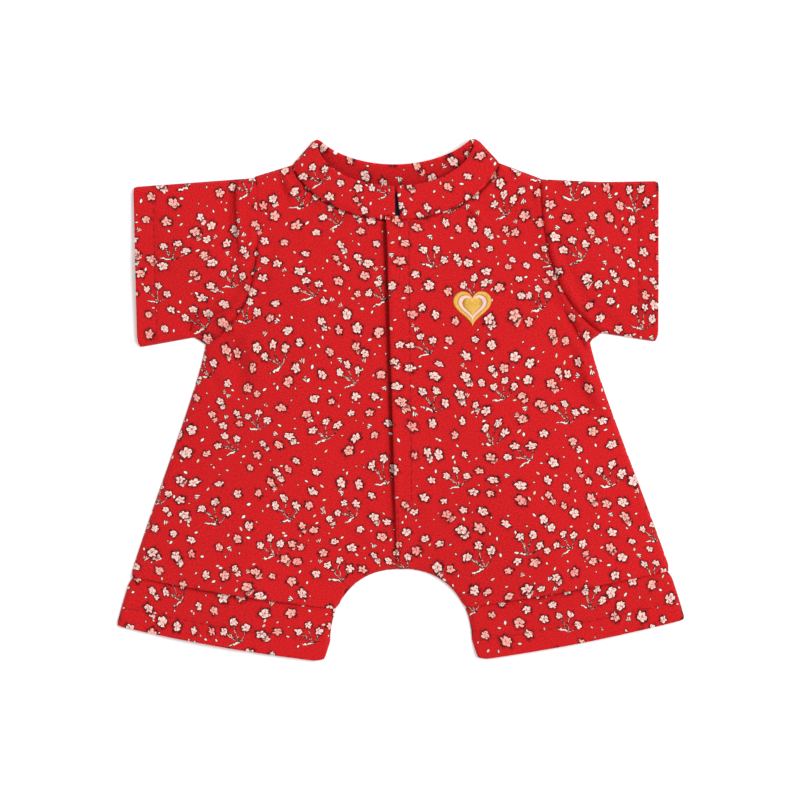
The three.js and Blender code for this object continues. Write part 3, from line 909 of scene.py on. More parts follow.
def draw_blossoms(w, colour, place, wobble, grain):
    """Single blossoms, each turned and stretched a little, and here and there a smaller partner."""
    near_blossom, centre, dice = scatter(w, place, BLOSSOMS)
    clear = clear_of(w, centre, SPRIGS, BLOSSOM_FROM_SPRIG)
    room = w.times(room_around(w, centre, BLOSSOMS), 0.84)
    size = w.math("MINIMUM", w.ramp(dice[2], 0.0, 1.0, 1.35, 1.92), room)
    tint = w.mix(w.over(dice[1], 0.55), CREAM, w.mix(w.over(dice[1], 0.96), PEACH, ROSE))
    drawn = w.vector("ADD", near_blossom, wobble)
    twist = w.spin(w.vector("MULTIPLY", drawn, (1.0, 1.12, 1.0)), w.times(dice[0], FULL_TURN))
    partner = w.times(clear, w.over(dice[0], 0.74))
    below_it = w.vector("SUBTRACT", drawn, (2.1, -1.3, 0))
    colour = draw_blossom(w, colour, below_it, w.times(size, 0.78), tint, grain, partner)
    return draw_blossom(w, colour, twist, size, tint, grain, clear)


print("a blossom about every", BLOSSOMS[0], "mm")

# %% Buds
BUDS = (4.1, 0.9)
BUD_FROM_SPRIG = 5.9
BUD_FROM_BLOSSOM = 2.9
LEAFY = 0.86  # cells whose random number is greater have three leaves instead of a bud


def draw_buds(w, colour, place):
    near_bud, centre, dice = scatter(w, place, BUDS)
    off_blossoms = clear_of(w, centre, BLOSSOMS, BUD_FROM_BLOSSOM)
    off_sprigs = clear_of(w, centre, SPRIGS, BUD_FROM_SPRIG)
    clear = w.times(off_blossoms, off_sprigs, w.over(dice[1], 0.3))
    bud = w.spin(near_bud, w.times(dice[0], FULL_TURN))
    leafy = w.times(clear, w.over(dice[2], LEAFY))
    plain = w.math("SUBTRACT", clear, leafy)
    size = w.ramp(dice[2], 0.0, LEAFY, 0.17, 0.40)
    tip = w.filled(w.node("ShaderNodeCombineXYZ"), X=w.times(size, 2.7))[0]
    tint = w.mix(w.over(dice[0], 0.5), CREAM, PEACH)
    colour = draw_stalk(w, colour, bud, (0, 0, 0), tip, size, tint, plain)
    for end in ((1.3, 0.8, 0), (1.5, 0, 0), (1.3, -0.8, 0)):
        colour = draw_stalk(w, colour, bud, (0, 0, 0), end, 0.22, tint, leafy)
    return colour


print("a bud about every", BUDS[0], "mm")

# %% The print as one group
FLECKS_PER_MM = 2.4
RED = (0.69, 0.011, 0.0142, 1)
DEEP_RED = (0.36, 0.0046, 0.0062, 1)


def hand_drawn(w, place):
    """A shift by noise, so that no two motifs are alike, and a finer noise for their edges."""
    wobble = w.vector("SUBTRACT", w.noise(place, 0.75, 2.0)["Color"], (0.5, 0.5, 0.5))
    return w.vector("SCALE", wobble, scale=1.5), w.noise(place, 1.9, 1.0)[0]


def unrowed(w, place):
    """The place shifted by a few millimetres in wide waves, so that the cells don't stand in rows."""
    waves_at = w.noise(place, 0.03, 0.0)["Color"]
    return w.vector("ADD", place, w.vector("MULTIPLY", waves_at, (8.0, 8.0, 0.0)))


def make_print():
    tree, w, given, result = new_group("flower print", [("Place", VECTOR)], [("Color", COLOUR)])
    place = w.spin(unrowed(w, given["Place"]), PRINT_TURN)
    wobble, grain = hand_drawn(w, place)
    fleck = w.noise(place, FLECKS_PER_MM, 3.0)[0]
    colour = w.mix(w.ramp(fleck, 0.24, 0.74), DEEP_RED, RED)
    colour = draw_sprigs(w, colour, place, wobble, grain)
    colour = draw_blossoms(w, colour, place, wobble, grain)
    w.put(result["Color"], draw_buds(w, colour, place))
    return tree


print_tree = make_print()
print("flower print:", len(print_tree.nodes), "nodes")

# %% [markdown]
# ## Cotton, thread and tape
# The cotton is a plain weave, about three threads to the millimetre, matt with a faint sheen from its loose
# fibres. The weave is a bump from two crossed waves. On the wrong side the print only shows through, so that
# skin gets a paler mix. Sewing thread is a darker red than the cloth. The tape is a dark navy nylon.

# %% Cotton
THREADS_PER_MM = 3.2


def new_material(name, roughness):
    made = bpy.data.materials.new(name)
    made.use_nodes = True
    shader = made.node_tree.nodes["Principled BSDF"]
    shader.inputs["Roughness"].default_value = roughness
    shader.inputs["Specular IOR Level"].default_value = 0.12
    return made, NodeWriter(made.node_tree), shader


def weave_bump(w, shader, place, strength):
    x, y, _ = w.split(place)
    across = w.math("SINE", w.times(x, THREADS_PER_MM * 2 * math.pi))
    along = w.math("SINE", w.times(y, THREADS_PER_MM * 2 * math.pi))
    slub = w.noise(place, 0.9, 4.0)[0]
    w.bump(shader, w.math("ADD", w.times(across, along), w.times(slub, 1.6)), strength, 0.00008)
    return slub


def printed_cotton(name, show_through):
    made, w, shader = new_material(name, 0.82)
    shader.inputs["Sheen Weight"].default_value = 0.02
    shader.inputs["Sheen Roughness"].default_value = 0.5
    place = w.node("ShaderNodeUVMap", uv_map=PRINT_MAP).outputs[0]
    colour = w.group(print_tree, Place=place)["Color"]
    slub = weave_bump(w, shader, place, 0.5)
    if show_through:
        colour = w.mix(0.72, colour, (0.62, 0.045, 0.05, 1))
    shade = w.ramp(slub, 0.3, 0.7, 0.0, 0.08)
    w.put(shader.inputs["Base Color"], w.mix(shade, colour, (0.30, 0.004, 0.006, 1)))
    return made


cotton = printed_cotton("printed_cotton", False)
cotton_inside = printed_cotton("cotton_wrong_side", True)
cotton_pair = [cotton, cotton_inside]
print("cotton:", len(cotton.node_tree.nodes), "nodes outside the print group")


# %% Thread and tape
def plain_fibre(name, colour, darker, roughness, scale):
    made, w, shader = new_material(name, roughness)
    shader.inputs["Sheen Weight"].default_value = 0.1
    noise = w.noise(w.node("ShaderNodeTexCoord").outputs["Object"], scale, 3.0, "3D")[0]
    w.put(shader.inputs["Base Color"], w.mix(w.ramp(noise, 0.3, 0.7), darker, colour))
    w.bump(shader, noise, 0.3, 0.00005)
    return made


red_thread = plain_fibre("red_thread", (0.34, 0.005, 0.008, 1), (0.20, 0.003, 0.005, 1), 0.6, 4000)
tape_nylon = plain_fibre("tape_nylon", (0.014, 0.014, 0.03, 1), (0.006, 0.006, 0.014, 1), 0.7, 2500)
gold_thread = plain_fibre("gold_thread", (0.78, 0.50, 0.10, 1), (0.55, 0.30, 0.04, 1), 0.42, 3000)
pink_thread = plain_fibre("pink_thread", (0.90, 0.62, 0.54, 1), (0.75, 0.42, 0.36, 1), 0.42, 3000)
print("threads:", [m.name for m in (red_thread, gold_thread, pink_thread)])

# %% [markdown]
# ## The back and the fronts
# The back is one panel from neck to tuck, flat on the table. The two fronts are cut alike and lap at the
# centre: the wearer's left lies on top, so its edge stands a little higher, and the right one dips to pass
# under it. The lower end of each front is turned under at the tuck, so its rim there is twice as thick.

# %% Heights of the fronts
LAP_DIP = 2.0  # the right front goes down by this to pass under the left
LAP_DITCH = 1.0  # deeper just beside the left front's edge
LAP_RISE = 0.5  # the left front rises by this towards the lap
NECK_SINK = 0.3
TURN_STEP = 0.6  # width of the step to the thickness of a turned hem
TURNED = 0.9  # thickness of cloth that is turned double
BACK_LEVEL = 0.5
UNDER_LEVEL = 0.12  # top of the under layer of sleeves and legs
FAINT = 0.04  # share of the undulation that the layers on the table have


def overlap_at(y):
    part = (np.asarray(y) - OVERLAP_BOTTOM[1]) / (OVERLAP_TOP[1] - OVERLAP_BOTTOM[1])
    return OVERLAP_BOTTOM[0] + part * (OVERLAP_TOP[0] - OVERLAP_BOTTOM[0])


def neck_sink(x, y):
    """The body dips under the lower edge of the collar."""
    return NECK_SINK * np.exp(-near(x, y, neck_line)[0] / 1.5) * roll(inwards(x, y))


def right_top(x, y):
    past = x - overlap_at(y)
    dip = LAP_DIP * smooth(past, -6.0, 0.3) + band(past, -0.2, 1.1, LAP_DITCH)
    return lifted(x, y, ROOF - dip) - neck_sink(x, y) + relief(x, y)


def left_top(x, y):
    rise = LAP_RISE * smooth(-x, -11.0, -1.0)
    past = x - overlap_at(y)
    below_slit = smooth(-y, -PLACKET_BOTTOM_Y, 1 - PLACKET_BOTTOM_Y)
    edge = band(past, 1.0, 1.2, 0.45) - below_slit * band(past, 1.9, 0.5, 0.5)
    second_layer = 0.8 * smooth(-x, -HINGE_X - 2, -HINGE_X + 1) * (1 - swell(inwards(x, y)))
    return lifted(x, y, ROOF + rise + edge) + second_layer - neck_sink(x, y) + relief(x, y)


def back_top(x, y):
    return BACK_LEVEL + FAINT * undulation(x, y)


def doubled_at(edge, depth, thick):
    """Cloth that is turned in along an edge, to a depth, so it is thicker there."""
    def thickness(x, y):
        apart = near(np.abs(x), y, edge)[0]
        return CLOTH + (thick - CLOTH) * smooth(-apart, -depth, -depth + TURN_STEP)
    return thickness


print("the lap's edge is at x =", round(float(overlap_at(PLACKET_BOTTOM_Y)), 1), "mm at the placket's end")

# %% Back panel
body_side = join(tuck_edge[-1], side_seam[side_seam[:, 1] > tuck_edge[-1][1]][::-1])
body_arch = join(tuck_edge[0], arch[arch[:, 1] > tuck_edge[0][1]])


def half_body(side):
    """Edges of half the body without the centre, drawn as the left half."""
    return [tuck_edge, join(body_side, armholes[side][-1]), armholes[side][::-1], line(shoulders[side], NECK)]


left_body = half_body("left")
right_body = all_mirrored(half_body("right"))
crotch_line = join(body_arch * (-1, 1), body_arch[::-1][1:])
back_neck_line = join(mirrored(back_neck), back_neck[1:])
back_edges = left_body + [back_neck_line[::-1]] + right_body + [crotch_line]
back = sheet("back_panel_cloth", back_edges, back_top, cotton_pair, step=2.0, grain=2, shift=(300, 40))

# %% Right front, which goes on under the left one
TUCK_TURN = 5.0  # depth of the cloth turned in at the tuck
tuck_lip = doubled_at(tuck_edge, TUCK_TURN, TURNED)
neck_part = part_of(neck_line, -UNDERLAP_X, NECK[0])
crotch_part = part_of(crotch_line, -UNDERLAP_X, TUCK_INNER[0])
half_front = half_body("right") + [neck_part[::-1], line(neck_part[0], crotch_part[0]), crotch_part]
right_front = sheet("front_right_cloth", all_mirrored(half_front), right_top, cotton_pair, tuck_lip)

# %% Left front and its free edge strip
neck_part = part_of(neck_line, HINGE_X, NECK[0])
crotch_part = part_of(crotch_line, OVERLAP_BOTTOM[0], TUCK_INNER[0])
slit_corner = np.array((HINGE_X, PLACKET_BOTTOM_Y))
slit_end = np.array((overlap_at(PLACKET_BOTTOM_Y), PLACKET_BOTTOM_Y))
front_edge = line(neck_part[0], slit_corner, slit_end, crotch_part[0])
left_edges = left_body + [neck_part[::-1], front_edge[:2], front_edge[1:3], front_edge[2:], crotch_part]
left_front = sheet("front_left_cloth", left_edges, left_top, cotton_pair, tuck_lip)

flap_neck = part_of(neck_line, OVERLAP_TOP[0], HINGE_X)
flap_edges = [line(slit_corner, neck_part[0]), flap_neck[::-1]]
flap_edges += [line(flap_neck[0], slit_end), line(slit_end, slit_corner)]
flap = sheet("placket_flap_cloth", flap_edges, left_top, cotton_pair, even(TURNED), step=1.0)

# %% [markdown]
# ## The collar
# The stand collar is a doubled band. Its back half leans up from the table and shows its inside above the
# front, and its two front halves rise from the folds at the sides to the middle, where they nearly meet.
# The left one ends on the slant, so a narrow gap is left, and the tape behind it shows dark.

# %% Collar
COLLAR_THICK = 1.25
COLLAR_SEAT = 2.4  # height of the front collar at its side folds
COLLAR_RISE = 0.4
BACK_LOW = 1.3  # height of the back collar at its lower edge
BACK_STAND = 2.6  # the back half leans up by this much towards its upper edge
collar_top_line = join(mirrored(front_collar_top), front_collar_top[1:])
back_top_line = join(mirrored(back_collar_top), back_collar_top[1:])


def collar_top(x, y):
    over_back = (COLLAR_SEAT - SEAT) * (1 - swell(inwards(x, y)))
    return lifted(x, y, ROOF + COLLAR_RISE) + over_back + relief(x, y)


def collar_back_top(x, y):
    from_front, _, which = near(x, y, collar_top_line)
    share = np.where(which > 0, from_front / (from_front + near(x, y, back_top_line)[0] + 0.01), 0)
    return BACK_LOW + BACK_STAND * share + 0.1 * undulation(x, y)


RIGHT_END = -1.1
LEFT_END_TOP = 0.8
LEFT_END_BOTTOM = 2.1
COLLAR_CORNER = 1.2  # radius of the rounded corners at the peaks


def front_half(lower_end, upper_end):
    """Edges of half the front collar, drawn as the left half."""
    lower = part_of(neck_line, lower_end, NECK[0])
    upper = part_of(collar_top_line, upper_end, PEAK[0])
    fold, upper_edge = rounded(line(NECK, PEAK), upper[::-1], COLLAR_CORNER)
    return [lower, fold, upper_edge, line(upper[0], lower[0])]


def collar(name, edges, top, step, shift):
    return sheet(name, edges, top, cotton_pair, even(COLLAR_THICK), step, shift=shift)


left_half = front_half(LEFT_END_BOTTOM, LEFT_END_TOP)
right_half = all_mirrored(front_half(-RIGHT_END, -RIGHT_END))
collar_left = collar("collar_left_cloth", left_half, collar_top, 1.0, (61, 17))
collar_right = collar("collar_right_cloth", right_half, collar_top, 1.0, (83, 29))
fold, upper_back = rounded(line(NECK, PEAK), back_top_line[::-1], COLLAR_CORNER)
upper_back, fold_right = rounded(upper_back, line(PEAK * (-1, 1), NECK * (-1, 1)), COLLAR_CORNER)
collar_back_edges = [back_neck_line, fold, upper_back, fold_right]
collar_back = collar("collar_back_cloth", collar_back_edges, collar_back_top, 1.2, (210, 5))

# %% [markdown]
# ## Sleeves and legs
# A sleeve lying flat is a tube: its front and back are one piece of cloth, folded along the top and joined
# under the arm. Both ends stay open, so the mesh is two fills of the same outline, joined along two edges.
# The leg below the tuck is made the same way and goes on for a few millimetres under the lip of the tuck.
# Each open end has a turned hem, thicker than the rest, held by a row of stitches. When a sleeve folds over,
# its underside goes the long way round, so the print is set closer there and looks even once it is folded.

# %% Where sleeves and legs fold
FOLD_ZONE = (-4.0, 12.0)  # millimetres before and after the fold over which the print of the underside is shifted
TUCK_ZONE = (-2.5, 9.5)
FOLD_SLACK, TUCK_SLACK = 13.0, 16.0  # print taken up in each zone, on the underside


def across_of(start, end):
    """A unit step square to a line, away from the middle of the garment."""
    way = end - start
    return np.array((-way[1], way[0])) / np.linalg.norm(way)


def slack_at(middle, across, zone, length):
    """How far the print of the underside is shifted, along the step across a fold, at each place."""
    def slack(x, y):
        past = (np.abs(x) - middle[0]) * across[0] + (y - middle[1]) * across[1]
        step = np.stack([np.sign(x) * across[0], np.full(len(x), across[1])], 1)
        return length * smooth(past, *zone)[:, None] * step
    return slack


fold_middle, fold_across = (FOLD_TOP + FOLD_BOTTOM) / 2, across_of(FOLD_TOP, FOLD_BOTTOM)
tuck_middle, tuck_across = (TUCK_INNER + TUCK_OUTER) / 2, across_of(TUCK_OUTER, TUCK_INNER)
fold_slack = slack_at(fold_middle, fold_across, FOLD_ZONE, FOLD_SLACK)
tuck_slack = slack_at(tuck_middle, tuck_across, TUCK_ZONE, TUCK_SLACK)
print("folding outwards of", fold_middle, "and", tuck_middle)

# %% Sleeves
HEM_THICK = 1.0


def sleeve_top(x, y):
    return np.maximum(lifted(x, y, ROOF) + relief(x, y), SEAT)


def sleeve_under(x, y):
    return UNDER_LEVEL + FAINT * undulation(x, y)


sleeve_hem_turn = doubled_at(sleeve_hem, HEM_DEPTH, HEM_THICK)
sleeves = {}
for side, sign, grain in (("left", 1, 9), ("right", -1, -7)):
    sleeve_seam, hem_edge = rounded(line(armholes[side][-1], NOTCH, SLEEVE_BOTTOM), sleeve_hem)
    upper_fold = line(SLEEVE_TOP, SLEEVE_BOW[side], SHOULDER[side], shoulders[side])
    opening, sleeve_fold = rounded(hem_edge, upper_fold)
    edges = [sleeve_seam, opening, sleeve_fold, armholes[side]]
    if sign < 0:
        edges = all_mirrored(edges)
    joins = [spaced(edge, STEP) * (sign, 1) for edge in (sleeve_seam, sleeve_fold)]
    sleeves[side] = tube(f"sleeve_{side}_cloth", edges, joins, sleeve_top, sleeve_under, cotton_pair,
                         sleeve_hem_turn, fold_slack, grain, (40 + 25 * sign, 130))

# %% Leg cuffs
CUFF_DROP = 1.9  # the cuff lies this much lower than the front above it
CUFF_DITCH = 1.0
LIP_RISE = 0.9  # its under layer rises by this where it goes under the lip of the tuck
LIP_RAMP = (-81.2, -77.6)  # between these distances square to the tuck
TUCK_SQUARE = (-0.1674, 0.9859)  # a step square to the tuck, to the body's side
tuck_inside = line((24.6, -71.4), (95.6, -59.4))  # the cuff goes on this far under the lip


def above_tuck(x, y):
    return smooth(np.abs(x) * TUCK_SQUARE[0] + y * TUCK_SQUARE[1], *LIP_RAMP)


def cuff_top(x, y):
    apart = near(np.abs(x), y, tuck_edge)[0]
    ditch = band(apart, 0, 1.1, CUFF_DITCH) * roll(inwards(x, y))
    return lifted(x, y, ROOF - CUFF_DROP) + relief(x, y) - ditch


def cuff_under(x, y):
    return sleeve_under(x, y) + LIP_RISE * above_tuck(x, y)


cuff_side = side_seam[side_seam[:, 1] < TUCK_OUTER[1] - 0.5][::-1]
cuff_side = join(cuff_side, TUCK_OUTER - (0.4, 0.2))
cuff_seam = join(TUCK_INNER, arch[arch[:, 1] < TUCK_INNER[1]][::-1], HEM_INNER)
hem_edge, cuff_side = rounded(leg_hem[::-1], cuff_side)
cuff_seam, hem_edge = rounded(cuff_seam, hem_edge)
cuff_edges = [hem_edge, cuff_side, line(cuff_side[-1], tuck_inside[1]), tuck_inside[::-1],
              line(tuck_inside[0], TUCK_INNER), cuff_seam]
cuff_joins = [spaced(cuff_side, STEP), spaced(cuff_seam, STEP)]
cuff_hem_turn = doubled_at(leg_hem, HEM_DEPTH, HEM_THICK)
cuffs = {}
for side, sign, grain in (("left", 1, 4), ("right", -1, -5)):
    edges = cuff_edges if sign > 0 else all_mirrored(cuff_edges)
    joins = [edge * (sign, 1) for edge in cuff_joins]
    cuffs[side] = tube(f"leg_cuff_{side}_cloth", edges, joins, cuff_top, cuff_under, cotton_pair,
                       cuff_hem_turn, tuck_slack, grain, (90 + 31 * sign, 220))

# %% [markdown]
# ## Thread
# A stitch is a short length of thread that comes up out of the cloth and dives back in. Swept as a thin tube
# along a small arch, it catches the light as real stitches do. The same sweep makes the hooks and loops of
# the tape and the satin stitches of the embroidery, so one helper builds many short threads as one mesh.

# %% Many short threads in one mesh
THREAD = 0.17  # radius of sewing thread


def strands(name, paths, radius, material, sides=5, flatten=1.0):
    paths = np.asarray(paths, float)
    count, steps = paths.shape[:2]
    way = np.gradient(paths, axis=1)
    way /= np.linalg.norm(way, axis=2)[..., None] + 1e-9
    level = np.cross(way, (0.0, 0.0, 1.0))
    chord = paths[:, -1] - paths[:, 0]
    spare = np.stack([-chord[:, 1], chord[:, 0], 0 * chord[:, 0]], 1)
    steep = np.linalg.norm(level, axis=2) < 0.2
    level = np.where(steep[..., None], -spare[:, None, :], level)
    level /= np.linalg.norm(level, axis=2)[..., None] + 1e-9
    upright = np.cross(level, way) * flatten
    taper = np.full(steps, radius)
    taper[[0, -1]] *= 0.6
    turn = np.linspace(0, 2 * math.pi, sides, endpoint=False)
    circle = (np.cos(turn)[:, None] * level[:, :, None, :] + np.sin(turn)[:, None] * upright[:, :, None, :])
    points = paths[:, :, None, :] + circle * taper[None, :, None, None]
    start = np.arange(count)[:, None, None] * steps * sides
    ring = np.arange(steps - 1)[None, :, None] * sides
    spot = np.arange(sides)[None, None, :]
    after = (spot + 1) % sides
    first_ring, next_ring = start + ring, start + ring + sides
    corners = [first_ring + spot, first_ring + after, next_ring + after, next_ring + spot]
    faces = [list(f) for f in np.stack(corners, -1).reshape(-1, 4)]
    for first in start[:, 0, 0]:
        faces.append(list(range(first + sides - 1, first - 1, -1)))
        faces.append(list(range(first + (steps - 1) * sides, first + steps * sides)))
    made = build(name, points.reshape(-1, 3), faces, [material])
    print(name, count, "threads,", len(made.data.polygons), "faces")
    return made


print("sewing thread:", 2 * THREAD, "mm thick")

# %% Rows of stitches
STITCH = 2.5  # length of a stitch
STITCH_GAP = 0.55
STITCH_END = 0.4  # a row starts and ends this far inside its line
ROW_STEP = 0.4
ROW_TRIM = 0.02
PLACKET_STITCH_X = HINGE_X + 0.45
arch_of_stitch = np.array((-0.22, 0.03, 0.07, 0.03, -0.22))
steps_of_stitch = np.array((0.0, 0.12, 0.5, 0.88, 1.0))


def row_of_stitches(points, surface, facing=1):
    run = run_of(points)
    count = int(run[-1] / (STITCH + STITCH_GAP))
    starts = np.linspace(STITCH_END, run[-1] - STITCH - STITCH_END, count)
    at = starts[:, None] + steps_of_stitch * STITCH
    x, y = (np.interp(at, run, points[:, axis]) for axis in (0, 1))
    z = surface(x.ravel(), y.ravel()).reshape(x.shape) + facing * arch_of_stitch
    return np.stack([x, y, z], 2)


def trimmed(points, share):
    """A line without a share of its length at both ends."""
    fine = spaced(points, ROW_STEP)
    cut = int(len(fine) * share)
    return fine[cut:len(fine) - cut]


threads = {}
for side, sign in SIDES:
    row = trimmed(sleeve_stitch, ROW_TRIM) * (sign, 1)
    rows = [row_of_stitches(row, sleeve_top), row_of_stitches(row, sleeve_under, -1)]
    threads[f"{side}_sleeve"] = strands(f"sleeve_{side}_stitches", np.vstack(rows), THREAD, red_thread)
    row = trimmed(leg_stitch, ROW_TRIM) * (sign, 1)
    rows = [row_of_stitches(row, cuff_top), row_of_stitches(row, cuff_under, -1)]
    threads[f"{side}_cuff"] = strands(f"leg_cuff_{side}_stitches", np.vstack(rows), THREAD, red_thread)
placket_rows = [
    line((PLACKET_STITCH_X, 66.2), (PLACKET_STITCH_X, PLACKET_BOTTOM_Y)),
    line((PLACKET_STITCH_X, PLACKET_BOTTOM_Y - 0.7), slit_end + (1.4, -0.7)),
    line((-0.7, PLACKET_BOTTOM_Y - 1.6), (-0.1, CROTCH_Y + 1.6)),
    line((-0.3, -45.2), (2.7, -45.4)),
]
rows = [row_of_stitches(spaced(row, ROW_STEP), left_top) for row in placket_rows]
threads["garment"] = strands("placket_stitches", np.vstack(rows), THREAD, red_thread)

# %% [markdown]
# ## Hook-and-loop tape
# The front closes with two narrow tapes: stiff little hooks on the lower front face up, and a mat of soft
# loops under the flap faces down. Real tape has thousands of both; here each is one in a few, a little
# larger, so the two tapes still read as rough and fuzzy when the flap is opened.

# %% The two tapes
TAPE_BASE = 0.22  # thickness of a tape without its hooks or loops
TAPE_INSET = 0.9  # it stays this far inside the flap's edge
TAPE_STEP = 1.0
HOOK_TAPE_LIFT = 0.12  # the hook tape lies this far above the level of the underlap
HOOK_TAPE_DIP = 0.5  # and dips by this behind the collar
LOOP_TAPE_DROP = 0.05  # the loop tape hangs this far below the flap
hook_low, hook_high = frame_box("hook_tape")
loop_low, loop_high = frame_box("loop_tape")


def underlap_level(x, y):
    return lifted(x, y, ROOF - LAP_DIP + 0.25)


def tape_outline(low, high):
    """The tape's four edges; its left edge stays just under the edge of the flap."""
    left = [max(low[0], overlap_at(y) + TAPE_INSET) for y in (low[1], high[1])]
    corners = line((left[0], low[1]), (high[0], low[1]), high[:2], (left[1], high[1]))
    return [line(a, b) for a, b in zip(corners, np.roll(corners, -1, axis=0))]


def hook_bed(x, y):
    return underlap_level(x, y) + HOOK_TAPE_LIFT + TAPE_BASE - HOOK_TAPE_DIP * smooth(y, 66, 69)


def loop_bed(x, y):
    return left_top(x, y) - TURNED - LOOP_TAPE_DROP


def tape(name, low, high, bed):
    print(name, "from", low.round(2), "to", high.round(2))
    return sheet(name, tape_outline(low, high), bed, [tape_nylon, tape_nylon], even(TAPE_BASE), TAPE_STEP)


hook_tape = tape("hook_tape_strip", hook_low, hook_high, hook_bed)
loop_tape = tape("loop_tape_strip", loop_low, loop_high, loop_bed)

# %% Hooks and loops
HOOK_PITCH, LOOP_PITCH = 0.85, 0.8
HOOK_RADIUS, LOOP_RADIUS = 0.07, 0.05
ROOT = 0.03  # their feet go this deep into the tape
FIRST_ROW = 0.5  # from the lower ends of the tape
LAST_ROW = 0.3  # and from its upper ends
dice = np.random.default_rng(5)


def tape_grid(low, high, pitch):
    columns, levels = (np.arange(low[axis] + FIRST_ROW, high[axis] - LAST_ROW, pitch) for axis in (0, 1))
    x, y = np.meshgrid(columns, levels)
    on_tape = x > overlap_at(y) + TAPE_INSET + LAST_ROW
    return x[on_tape], y[on_tape]


def set_out(x, y, base, shape):
    """Copies of one small path, turned at random, standing at given places."""
    angle = dice.uniform(0, 2 * math.pi, len(x))
    reach, height = shape.T
    across = np.cos(angle)[:, None] * reach, np.sin(angle)[:, None] * reach
    return np.stack([x[:, None] + across[0], y[:, None] + across[1], base[:, None] + height], 2)


hook_shape = np.array(((0.0, 0.0), (0.0, 0.28), (0.12, 0.38), (0.24, 0.28)))
loop_shape = np.array(((-0.26, 0.0), (-0.22, -0.24), (0.0, -0.38), (0.22, -0.24), (0.26, 0.0)))
x, y = tape_grid(hook_low, hook_high, HOOK_PITCH)
hook_paths = set_out(x, y, hook_bed(x, y) - ROOT, hook_shape)
hooks = strands("hook_tape_hooks", hook_paths, HOOK_RADIUS, tape_nylon, 4)
x, y = tape_grid(loop_low, loop_high, LOOP_PITCH)
loop_paths = set_out(x, y, loop_bed(x, y) - TAPE_BASE + ROOT, loop_shape)
loops = strands("loop_tape_loops", loop_paths, LOOP_RADIUS, tape_nylon, 4)

# %% [markdown]
# ## Embroidery
# The motif on the breast is satin stitch: threads laid side by side, each from one edge of a band to the
# other, arched over a padding. We draw a plain heart with a gold border, a pale ring and a gold core. The
# bands are three hearts of one shape. In the border and the ring each thread runs between like points of two
# of them, and in the core from side to side.

# %% Heart of satin stitch
HEART = np.array((27.6, 34.4))
HEART_WIDTH = 14.0
HEART_BAND = 1.7
PADDING = 0.42  # height of the threads over the cloth
SATIN = 0.36  # from one thread to the next
SATIN_RADIUS = 0.23
SATIN_GAP = 0.2  # a band's inner heart is this much wider than the next band's outer one


def heart(width, angle):
    wave = 13 * np.cos(angle) - 5 * np.cos(2 * angle) - 2 * np.cos(3 * angle) - np.cos(4 * angle)
    return np.stack([np.sin(angle) ** 3 * width / 2, wave / 32 * width], 1)


def even_angles(width):
    angle = np.linspace(0, 2 * math.pi, 721)
    run = run_of(heart(width, angle))
    return np.interp(np.arange(0, run[-1] - SATIN / 2, SATIN), run, angle)


def satin(name, starts, ends, material):
    part = np.linspace(0, 1, 6)[None, :, None]
    flat = HEART + starts[:, None] * (1 - part) + ends[:, None] * part
    x, y = flat.reshape(-1, 2).T
    padding = PADDING * np.sin(math.pi * np.clip(part[..., 0], 0.04, 0.96)) ** 0.6
    z = left_top(x, y).reshape(flat.shape[:2]) + padding
    return strands(name, np.concatenate([flat, z[..., None]], 2), SATIN_RADIUS, material)


def satin_band(name, width, inner, material):
    angles = even_angles(width)
    return satin(name, heart(width, angles), heart(inner + SATIN_GAP, angles), material)


ring_width = HEART_WIDTH - 2 * HEART_BAND
core_width = HEART_WIDTH - 4 * HEART_BAND
heart_border = satin_band("heart_border_satin", HEART_WIDTH, ring_width, gold_thread)
heart_ring = satin_band("heart_ring_satin", ring_width, core_width, pink_thread)
half = even_angles(core_width)
half = half[half < math.pi]
other_half = heart(core_width, 2 * math.pi - half)
heart_core = satin("heart_core_satin", heart(core_width, half), other_half, gold_thread)

# %% [markdown]
# ## Hang the cloth on the frame
# Each cloth takes the place of its solid in the frame, and that solid is hidden. The plain pieces, the tapes
# with their hooks and loops, the embroidery and the stitches are hung on bodies of the frame. The flap, the
# left half of the collar, the sleeves and the leg cuffs are not hung on a body: their transforms are baked
# in.


plain_pieces = [(back, "back_panel"), (right_front, "front_right_panel"), (left_front, "front_left_panel")]
plain_pieces += [(collar_back, "collar_back"), (collar_right, "collar_front_right")]
for made, node in plain_pieces:
    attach(made, "garment")
    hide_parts(node)
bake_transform(flap)
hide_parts("placket_flap")
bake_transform(collar_left)
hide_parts("collar_front_left", "collar_front_tab")
tapes = [("garment", "hook_tape", hook_tape, hooks), ("flap", "loop_tape", loop_tape, loops)]
for body, node, strip, pile in tapes:
    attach(strip, body)
    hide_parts(node)
    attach(pile, body)
hearts = [(heart_border, "heart_border", "gold_thread"), (heart_ring, "heart_ring", "pink_thread")]
hearts += [(heart_core, "heart_core", "gold_thread")]
for made, node, finish in hearts:
    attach(made, "garment")
    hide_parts(node)
for body, made in threads.items():
    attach(made, body)

for side, sign in SIDES:
    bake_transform(sleeves[side])
    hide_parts(f"sleeve_head_{side}", f"sleeve_{side}")
    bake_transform(cuffs[side])
    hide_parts(f"leg_cuff_{side}")
print(len(plain_pieces), "plain cloth pieces,", len(hearts), "of embroidery,", len(threads), "of stitches")

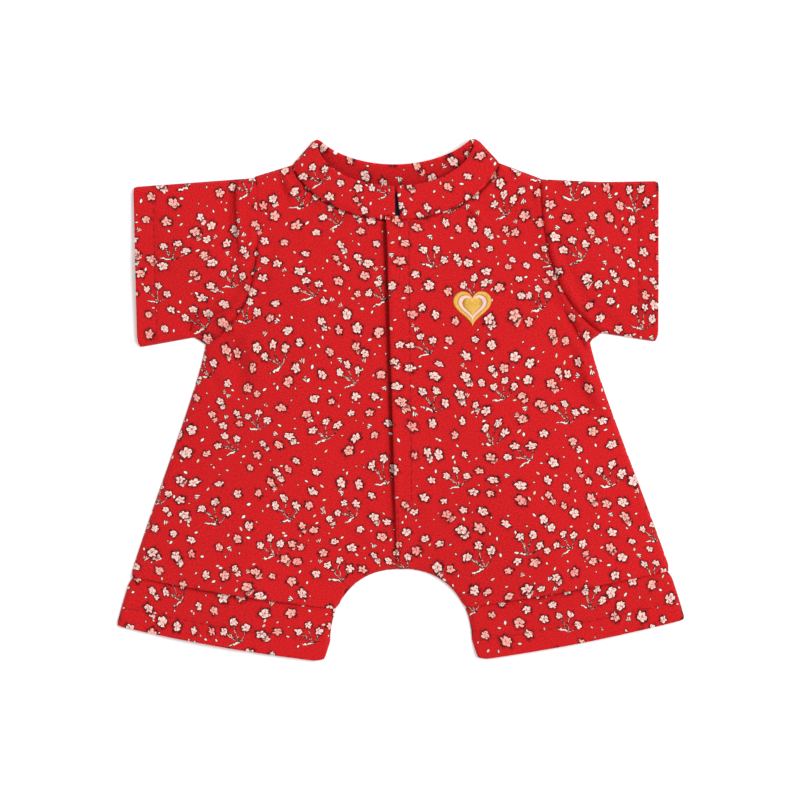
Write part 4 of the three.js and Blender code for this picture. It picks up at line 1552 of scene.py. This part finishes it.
# %% [markdown]
# ## Table, camera and light
# The photograph is a catalogue picture: the camera looks straight down from far away, and broad soft light
# comes from all over, a little more from the right and the collar's side. The table is white and takes a soft
# shadow. The garment lies turned by a little more than half a degree, so the camera is turned instead.

# %% Table
TABLE_SIZE = 3.0
TABLE_LEVEL = -0.3
half_table = TABLE_SIZE / 2 / MM
corners = [(half_table * a, half_table * b, TABLE_LEVEL) for a, b in ((-1, -1), (1, -1), (1, 1), (-1, 1))]
white_paper, _, shader = new_material("white_paper", 0.9)
shader.inputs["Base Color"].default_value = (0.97, 0.97, 0.97, 1)
shader.inputs["Specular IOR Level"].default_value = 0.0
table_top = build("table_top", corners, [(0, 1, 2, 3)], [white_paper])
print("table:", TABLE_SIZE, "m wide")

# %% Camera
PHOTO_WIDTH = 0.296  # metres of table seen across the picture
CAMERA_HEIGHT = 1.3
SENSOR = 36.0
TURN = -0.63
ASIDE = 0.0006
camera_data = bpy.data.cameras.new("photo_camera")
camera_data.sensor_width = SENSOR
camera_data.lens = SENSOR * CAMERA_HEIGHT / PHOTO_WIDTH
camera = bpy.data.objects.new("photo_camera", camera_data)
camera.location = (ASIDE, 0, CAMERA_HEIGHT)
camera.rotation_euler = (0, 0, math.radians(TURN))
bpy.context.scene.collection.objects.link(camera)
bpy.context.scene.camera = camera
print("lens:", round(camera_data.lens), "mm")

# %% Light
SKY_STRENGTH = 0.72


def soft_light(name, place, size, power):
    """A round lamp aimed at the middle of the garment."""
    data = bpy.data.lights.new(name, "AREA")
    data.shape = "DISK"
    data.size = size
    data.energy = power
    made = bpy.data.objects.new(name, data)
    made.location = place
    made.rotation_euler = (-Vector(place)).to_track_quat("-Z", "Y").to_euler()
    bpy.context.scene.collection.objects.link(made)
    print(name, "light:", power, "W")


soft_light("window", (1.6, 0.55, 2.4), 1.6, 64)
soft_light("fill", (-1.0, 0.2, 1.3), 1.2, 3.0)
world = bpy.data.worlds.new("studio")
world.use_nodes = True
bpy.context.scene.world = world
sky = world.node_tree.nodes["Background"]
sky.inputs["Color"].default_value = (1, 1, 1, 1)
sky.inputs["Strength"].default_value = SKY_STRENGTH
bpy.context.scene.view_settings.view_transform = "Standard"
